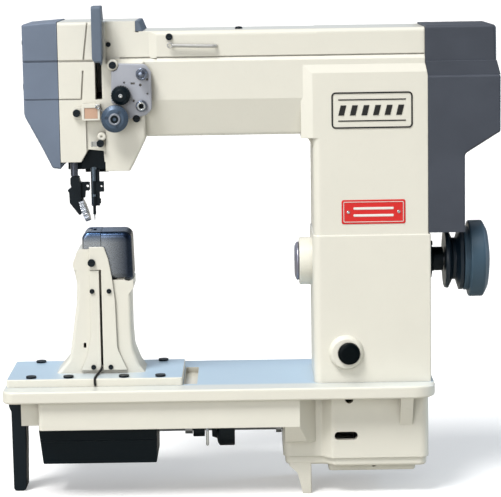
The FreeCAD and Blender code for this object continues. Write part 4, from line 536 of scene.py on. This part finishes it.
def dial_details():
    """Centre, ring and scale marks of the tension dial, the knob's end and the thread posts."""
    x, _, z = [v / MM for v in joint_place("tension_dial_turn")]
    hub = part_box("tension_dial")[0].y / MM
    turned("dial_centre", (x, hub, z), (0, -1, 0),
           [(-1, 0), (-1, 4.4), (0.5, 4.4), (0.9, 4.0), (0.9, 2.2), (-0.4, 1.9), (-0.4, 0)], "black_plastic",
           "dial")
    turned("dial_ring", (x, hub, z), (0, -1, 0),
           [(-2.5, 4.35), (-2.5, 6.9), (0.2, 6.9), (0.7, 6.4), (0.7, 4.9), (0.2, 4.35)], "dial_plastic",
           "dial", 48, SPECIAL["dial_ring"])
    bm = bmesh.new()
    for i in range(30):
        a = 2 * math.pi * i / 30
        long = 2.0 if i % 5 == 0 else 1.1
        outer = Vector((math.cos(a), 0, math.sin(a)))
        side = Vector((-outer.z, 0, outer.x)) * 0.32
        near, far = outer * (DIAL_MARK_RADIUS - long), outer * DIAL_MARK_RADIUS
        quad = [near - side, far - side, far + side, near + side]
        dip = [DIAL_MARK_Y - (DIAL_MARK_RADIUS - p) * DIAL_CONE_SLOPE
               for p in (DIAL_MARK_RADIUS - long, DIAL_MARK_RADIUS)]
        ys = [dip[0], dip[1], dip[1], dip[0]]
        low = [bm.verts.new(mm(x + q.x, y + 0.6, z + q.z)) for q, y in zip(quad, ys)]
        high = [bm.verts.new(mm(x + q.x, y - 0.15, z + q.z)) for q, y in zip(quad, ys)]
        bm.faces.new(high)
        bm.faces.new(low)
        for k in range(4):
            j = (k + 1) % 4
            bm.faces.new((low[k], low[j], high[j], high[k]))
    add("dial_marks", bm, "dial_plastic", "dial", INK)
    x, _, z = [v / MM for v in joint_place("pretension_knob_turn")]
    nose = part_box("pretension_knob")[0].y / MM
    turned("knob_end", (x, nose, z), (0, -1, 0),
           [(-1, 0), (-1, 2.4), (0.7, 2.4), (1.1, 2.0), (1.1, 0.7), (0.6, 0.5), (0.6, 0)], "chrome_plate",
           "knob")
    turned("post_cap", THREAD_POST, (0, -1, 0),
           [(-0.8, 0), (-0.8, 6.2), (0.6, 6.2), (1.0, 5.8), (1.0, 4.9), (0.3, 4.5), (0.3, 3.9), (1.3, 3.5),
            (1.6, 2.6), (1.8, 0)], "chrome_plate", "frame", 48, SPECIAL["tension_studs"])
    turned("eye_ring", THREAD_EYE, (0, -1, 0),
           [(-0.6, 3.05), (-0.6, 5.0), (0.4, 5.0), (0.9, 4.5), (0.9, 3.6), (0.4, 3.05)], "chrome_plate",
           "frame")
    # painted shade: a black cup closes the thread eye so its hole shows dark
    turned("eye_hole_shade", THREAD_EYE, (0, -1, 0),
           [(-5.5, 0), (-5.5, 2.9), (0.1, 2.9), (0.1, 2.5), (-4.5, 2.4), (-4.5, 0)], "black_plastic",
           "frame")


def joint_place(name):
    """Where a joint turns, from the record."""
    for joint in frame["record"]["behaviour"]["joints"]:
        if joint["name"] == name:
            return joint["pos_m"]
    raise SystemExit("no joint " + name)


def hanging_bolt():
    """Bright adjusting bolt under the bed."""
    turned("hanging_bolt", (-55, -40, BED_LIP_BOTTOM), (0, 0, -1),
           [(-1, 0), (-1, 1.65), (45, 1.65), (46, 1.9), (63.5, 1.9), (65, 1.2), (65, 0)], "chrome_plate",
           "frame", 24)


def back_covers():
    """Cover plates on the back of the column, arm and head, with their screws."""
    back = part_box("arm_casting")[1].y / MM
    spots = []
    for name, x, z, y, radius in (("column_back_cover", (96, 198), (168, 300), back, 9),
                                  ("column_top_cover", (92, 200), (338, 500), back - 1, 9),
                                  ("arm_back_cover", (-98, 58), (492, 548), back - 7, 12)):
        plate(name, rounded(x, z, radius), y - 0.5, y + 2.2, 0.7, "cream_paint")
        for u in x:
            for v in z:
                inward = (9 if u == x[0] else -9, 9 if v == z[0] else -9)
                spots.append(((u + inward[0], y + 2.1, v + inward[1]), (0, 1, 0), 3.6, 2.4))
    turned("head_back_cap", (-160, back - 7.5, 520), (0, 1, 0),
           [(0, 0), (0, 20), (2.2, 20), (3.2, 19), (3.4, 12), (2.6, 11.4), (2.6, 0)], "cream_paint",
           "frame", 64)
    screws("back_screws", "frame", spots)


def side_screws():
    """Socket screws on the covers' sides, the bearing flange and the wheel's hub."""
    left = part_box("face_cover")[0].x / MM
    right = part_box("rear_cover")[1].x / MM
    spots = [((left + 0.5, y, z), (-1, 0, 0), 4.0, 2.8) for y in (-36, 32) for z in (500, 552)]
    spots += [((right - 1.5, y, z), (1, 0, 0), 4.2, 2.6) for y in (-42, 42) for z in (456, 492)]
    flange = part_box("bearing_housing")[0].x / MM + 5
    for i in range(3):
        a = math.pi / 2 + 2 * math.pi * i / 3
        place = (flange - 1, 19.2 * math.cos(a), MAIN_Z + 19.2 * math.sin(a))
        spots.append((place, (1, 0, 0), 3.0, 3.2))
    screws("side_screws", "frame", spots)
    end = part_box("handwheel")[1].x / MM
    screws("wheel_screw", "main_rotor", [((end - 2.2, 0, MAIN_Z), (1, 0, 0), 8.5, 3.6)])


COLUMN_FACE = -60.0
BAND_FACE = -53.0
BED_LIP_BOTTOM = 125.0
POST_PLATE_TOP = 149.6
MAIN_Z = 280.0
DIAL_MARK_RADIUS, DIAL_MARK_Y, DIAL_CONE_SLOPE = 15.2, -83.4, 0.55
THREAD_POST = (-123, -80, 515)
THREAD_EYE = (-124.5, -76, 477.5)
BADGE_X, BADGE_Z = (99, 195), (446, 489)
LABEL_X, LABEL_Z = (110, 186), (332, 361)
badge()
label()
thread_rod()
lead_wire()
dial_details()
hanging_bolt()
back_covers()
side_screws()


# ---------------------------------------------------------------- stage

def floor():
    """A plain pale floor that also fills the background."""
    mesh = bpy.data.meshes.new("floor")
    size = 80.0
    mesh.from_pydata([(-size, -size, 0), (size, -size, 0), (size, size, 0), (-size, size, 0)], [],
                     [(0, 1, 2, 3)])
    thing = bpy.data.objects.new("floor", mesh)
    bpy.context.scene.collection.objects.link(thing)
    t = Tree("floor_paint")
    cloud = t.noise(t.coords(), 1.5, 3.0)
    seen = t.mix(t.ramp(cloud, 0.3, 0.7), (0.80, 0.80, 0.80, 1), (0.82, 0.82, 0.82, 1))
    ray = t.put("LightPath").outputs["Is Camera Ray"]
    t.surface(Base_Color=t.mix(ray, FLOOR_BOUNCE, seen), Roughness=0.9, Specular_IOR_Level=0.1,
              Emission_Color=(1, 0.99, 0.98, 1), Emission_Strength=t.value("MULTIPLY", ray, FLOOR_LIFT))
    mesh.materials.append(t.material)


def lamp(name, kind, place, target, power, colour=(1, 1, 1), size=None, angle=None):
    """A soft lamp aimed at a point."""
    light = bpy.data.lights.new(name, kind)
    light.energy = power
    light.color = colour
    if size:
        light.shape = "RECTANGLE"
        light.size, light.size_y = size
    if angle:
        light.angle = math.radians(angle)
    thing = bpy.data.objects.new(name, light)
    thing.location = place
    aim = Vector(target) - Vector(place)
    thing.rotation_euler = aim.to_track_quat("-Z", "Y").to_euler()
    bpy.context.scene.collection.objects.link(thing)


def world():
    """A soft sky, cool near the horizon, with dark flags that only reflections see."""
    sky = bpy.data.worlds.new("studio")
    bpy.context.scene.world = sky
    sky.use_nodes = True
    tree = sky.node_tree
    tree.nodes.clear()

    def put(kind, **settings):
        node = tree.nodes.new("ShaderNode" + kind)
        for key, value in settings.items():
            setattr(node, key, value)
        return node

    def maths(operation, a, b):
        node = put("Math", operation=operation)
        for i, value in enumerate((a, b)):
            if isinstance(value, bpy.types.NodeSocket):
                tree.links.new(value, node.inputs[i])
            else:
                node.inputs[i].default_value = value
        return node.outputs[0]

    split = put("SeparateXYZ")
    tree.links.new(put("TexCoord").outputs["Generated"], split.inputs[0])
    x, y, z = split.outputs
    ramp = put("ValToRGB")
    tree.links.new(z, ramp.inputs[0])
    stops = ramp.color_ramp.elements
    stops[0].position, stops[0].color = 0.0, SKY_LOW
    stops[1].position, stops[1].color = 0.55, SKY_HIGH
    angle = maths("ARCTAN2", x, y)
    wave = maths("ADD", maths("MULTIPLY", maths("SINE", maths("MULTIPLY", angle, 3.0), 0.0), 0.5), 0.5)
    flag = maths("GREATER_THAN", wave, 0.62)
    low = maths("LESS_THAN", z, 0.62)
    glossy = put("LightPath").outputs["Is Glossy Ray"]
    dark = maths("MULTIPLY", maths("MULTIPLY", flag, low), glossy)
    strength = maths("MULTIPLY", maths("SUBTRACT", 1.0, maths("MULTIPLY", dark, 0.85)), SKY_STRENGTH)
    strength = maths("MULTIPLY", strength, maths("ADD", maths("MULTIPLY", glossy, GLOSS_GAIN), 1.0))
    seen = put("LightPath").outputs["Is Camera Ray"]
    tint = put("Mix", data_type="RGBA")
    sockets = {socket.identifier: socket for socket in tint.inputs}
    sockets["B_Color"].default_value = SKY_SEEN
    tree.links.new(seen, sockets["Factor_Float"])
    tree.links.new(ramp.outputs[0], sockets["A_Color"])
    back = put("Background")
    tree.links.new([o for o in tint.outputs if o.identifier == "Result_Color"][0], back.inputs[0])
    tree.links.new(maths("MAXIMUM", strength, seen), back.inputs[1])
    out = put("OutputWorld")
    tree.links.new(back.outputs[0], out.inputs[0])


def camera():
    """At the photograph's viewing angle: straight on, a little above, slightly rolled."""
    lens = bpy.data.cameras.new("camera")
    lens.sensor_width = 36.0
    lens.lens = LENS_LENGTH
    lens.clip_end = 200.0
    thing = bpy.data.objects.new("camera", lens)
    place = Vector(CAMERA_PLACE)
    aim = Vector(CAMERA_AIM) - place
    turn = aim.to_track_quat("-Z", "Y").to_matrix()
    roll = Matrix.Rotation(math.radians(CAMERA_ROLL), 3, "Z")
    thing.matrix_world = Matrix.Translation(place) @ (turn @ roll).to_4x4()
    bpy.context.scene.collection.objects.link(thing)
    bpy.context.scene.camera = thing


CAMERA_PLACE = (0.001, -2.4825, 0.658)
CAMERA_AIM = (0.001, 0.0, 0.2959)
CAMERA_ROLL = -0.9
LENS_LENGTH = 147.6
FLOOR_BOUNCE = (0.47, 0.45, 0.40, 1)
FLOOR_LIFT = 0.30
SKY_LOW = (0.60, 0.74, 0.92, 1)
SKY_HIGH = (1.0, 1.0, 1.0, 1)
SKY_SEEN = (1.0, 1.0, 1.0, 1)
SKY_STRENGTH = 0.36
GLOSS_GAIN = 0.8
MIDDLE = (0, 0, 0.3)
floor()
world()
lamp("key", "SUN", (-1.0, -1.3, 2.8), MIDDLE, 3.0, (1.0, 0.99, 0.975), angle=22)
lamp("fill", "AREA", (-1.2, -2.6, 0.9), MIDDLE, 22, (1.0, 0.99, 0.98), size=(1.6, 1.2))
lamp("rim", "AREA", (2.2, 0.6, 0.9), MIDDLE, 20, (0.62, 0.80, 1.0), size=(0.8, 1.4))
camera()
bpy.context.scene.view_settings.view_transform = "Standard"
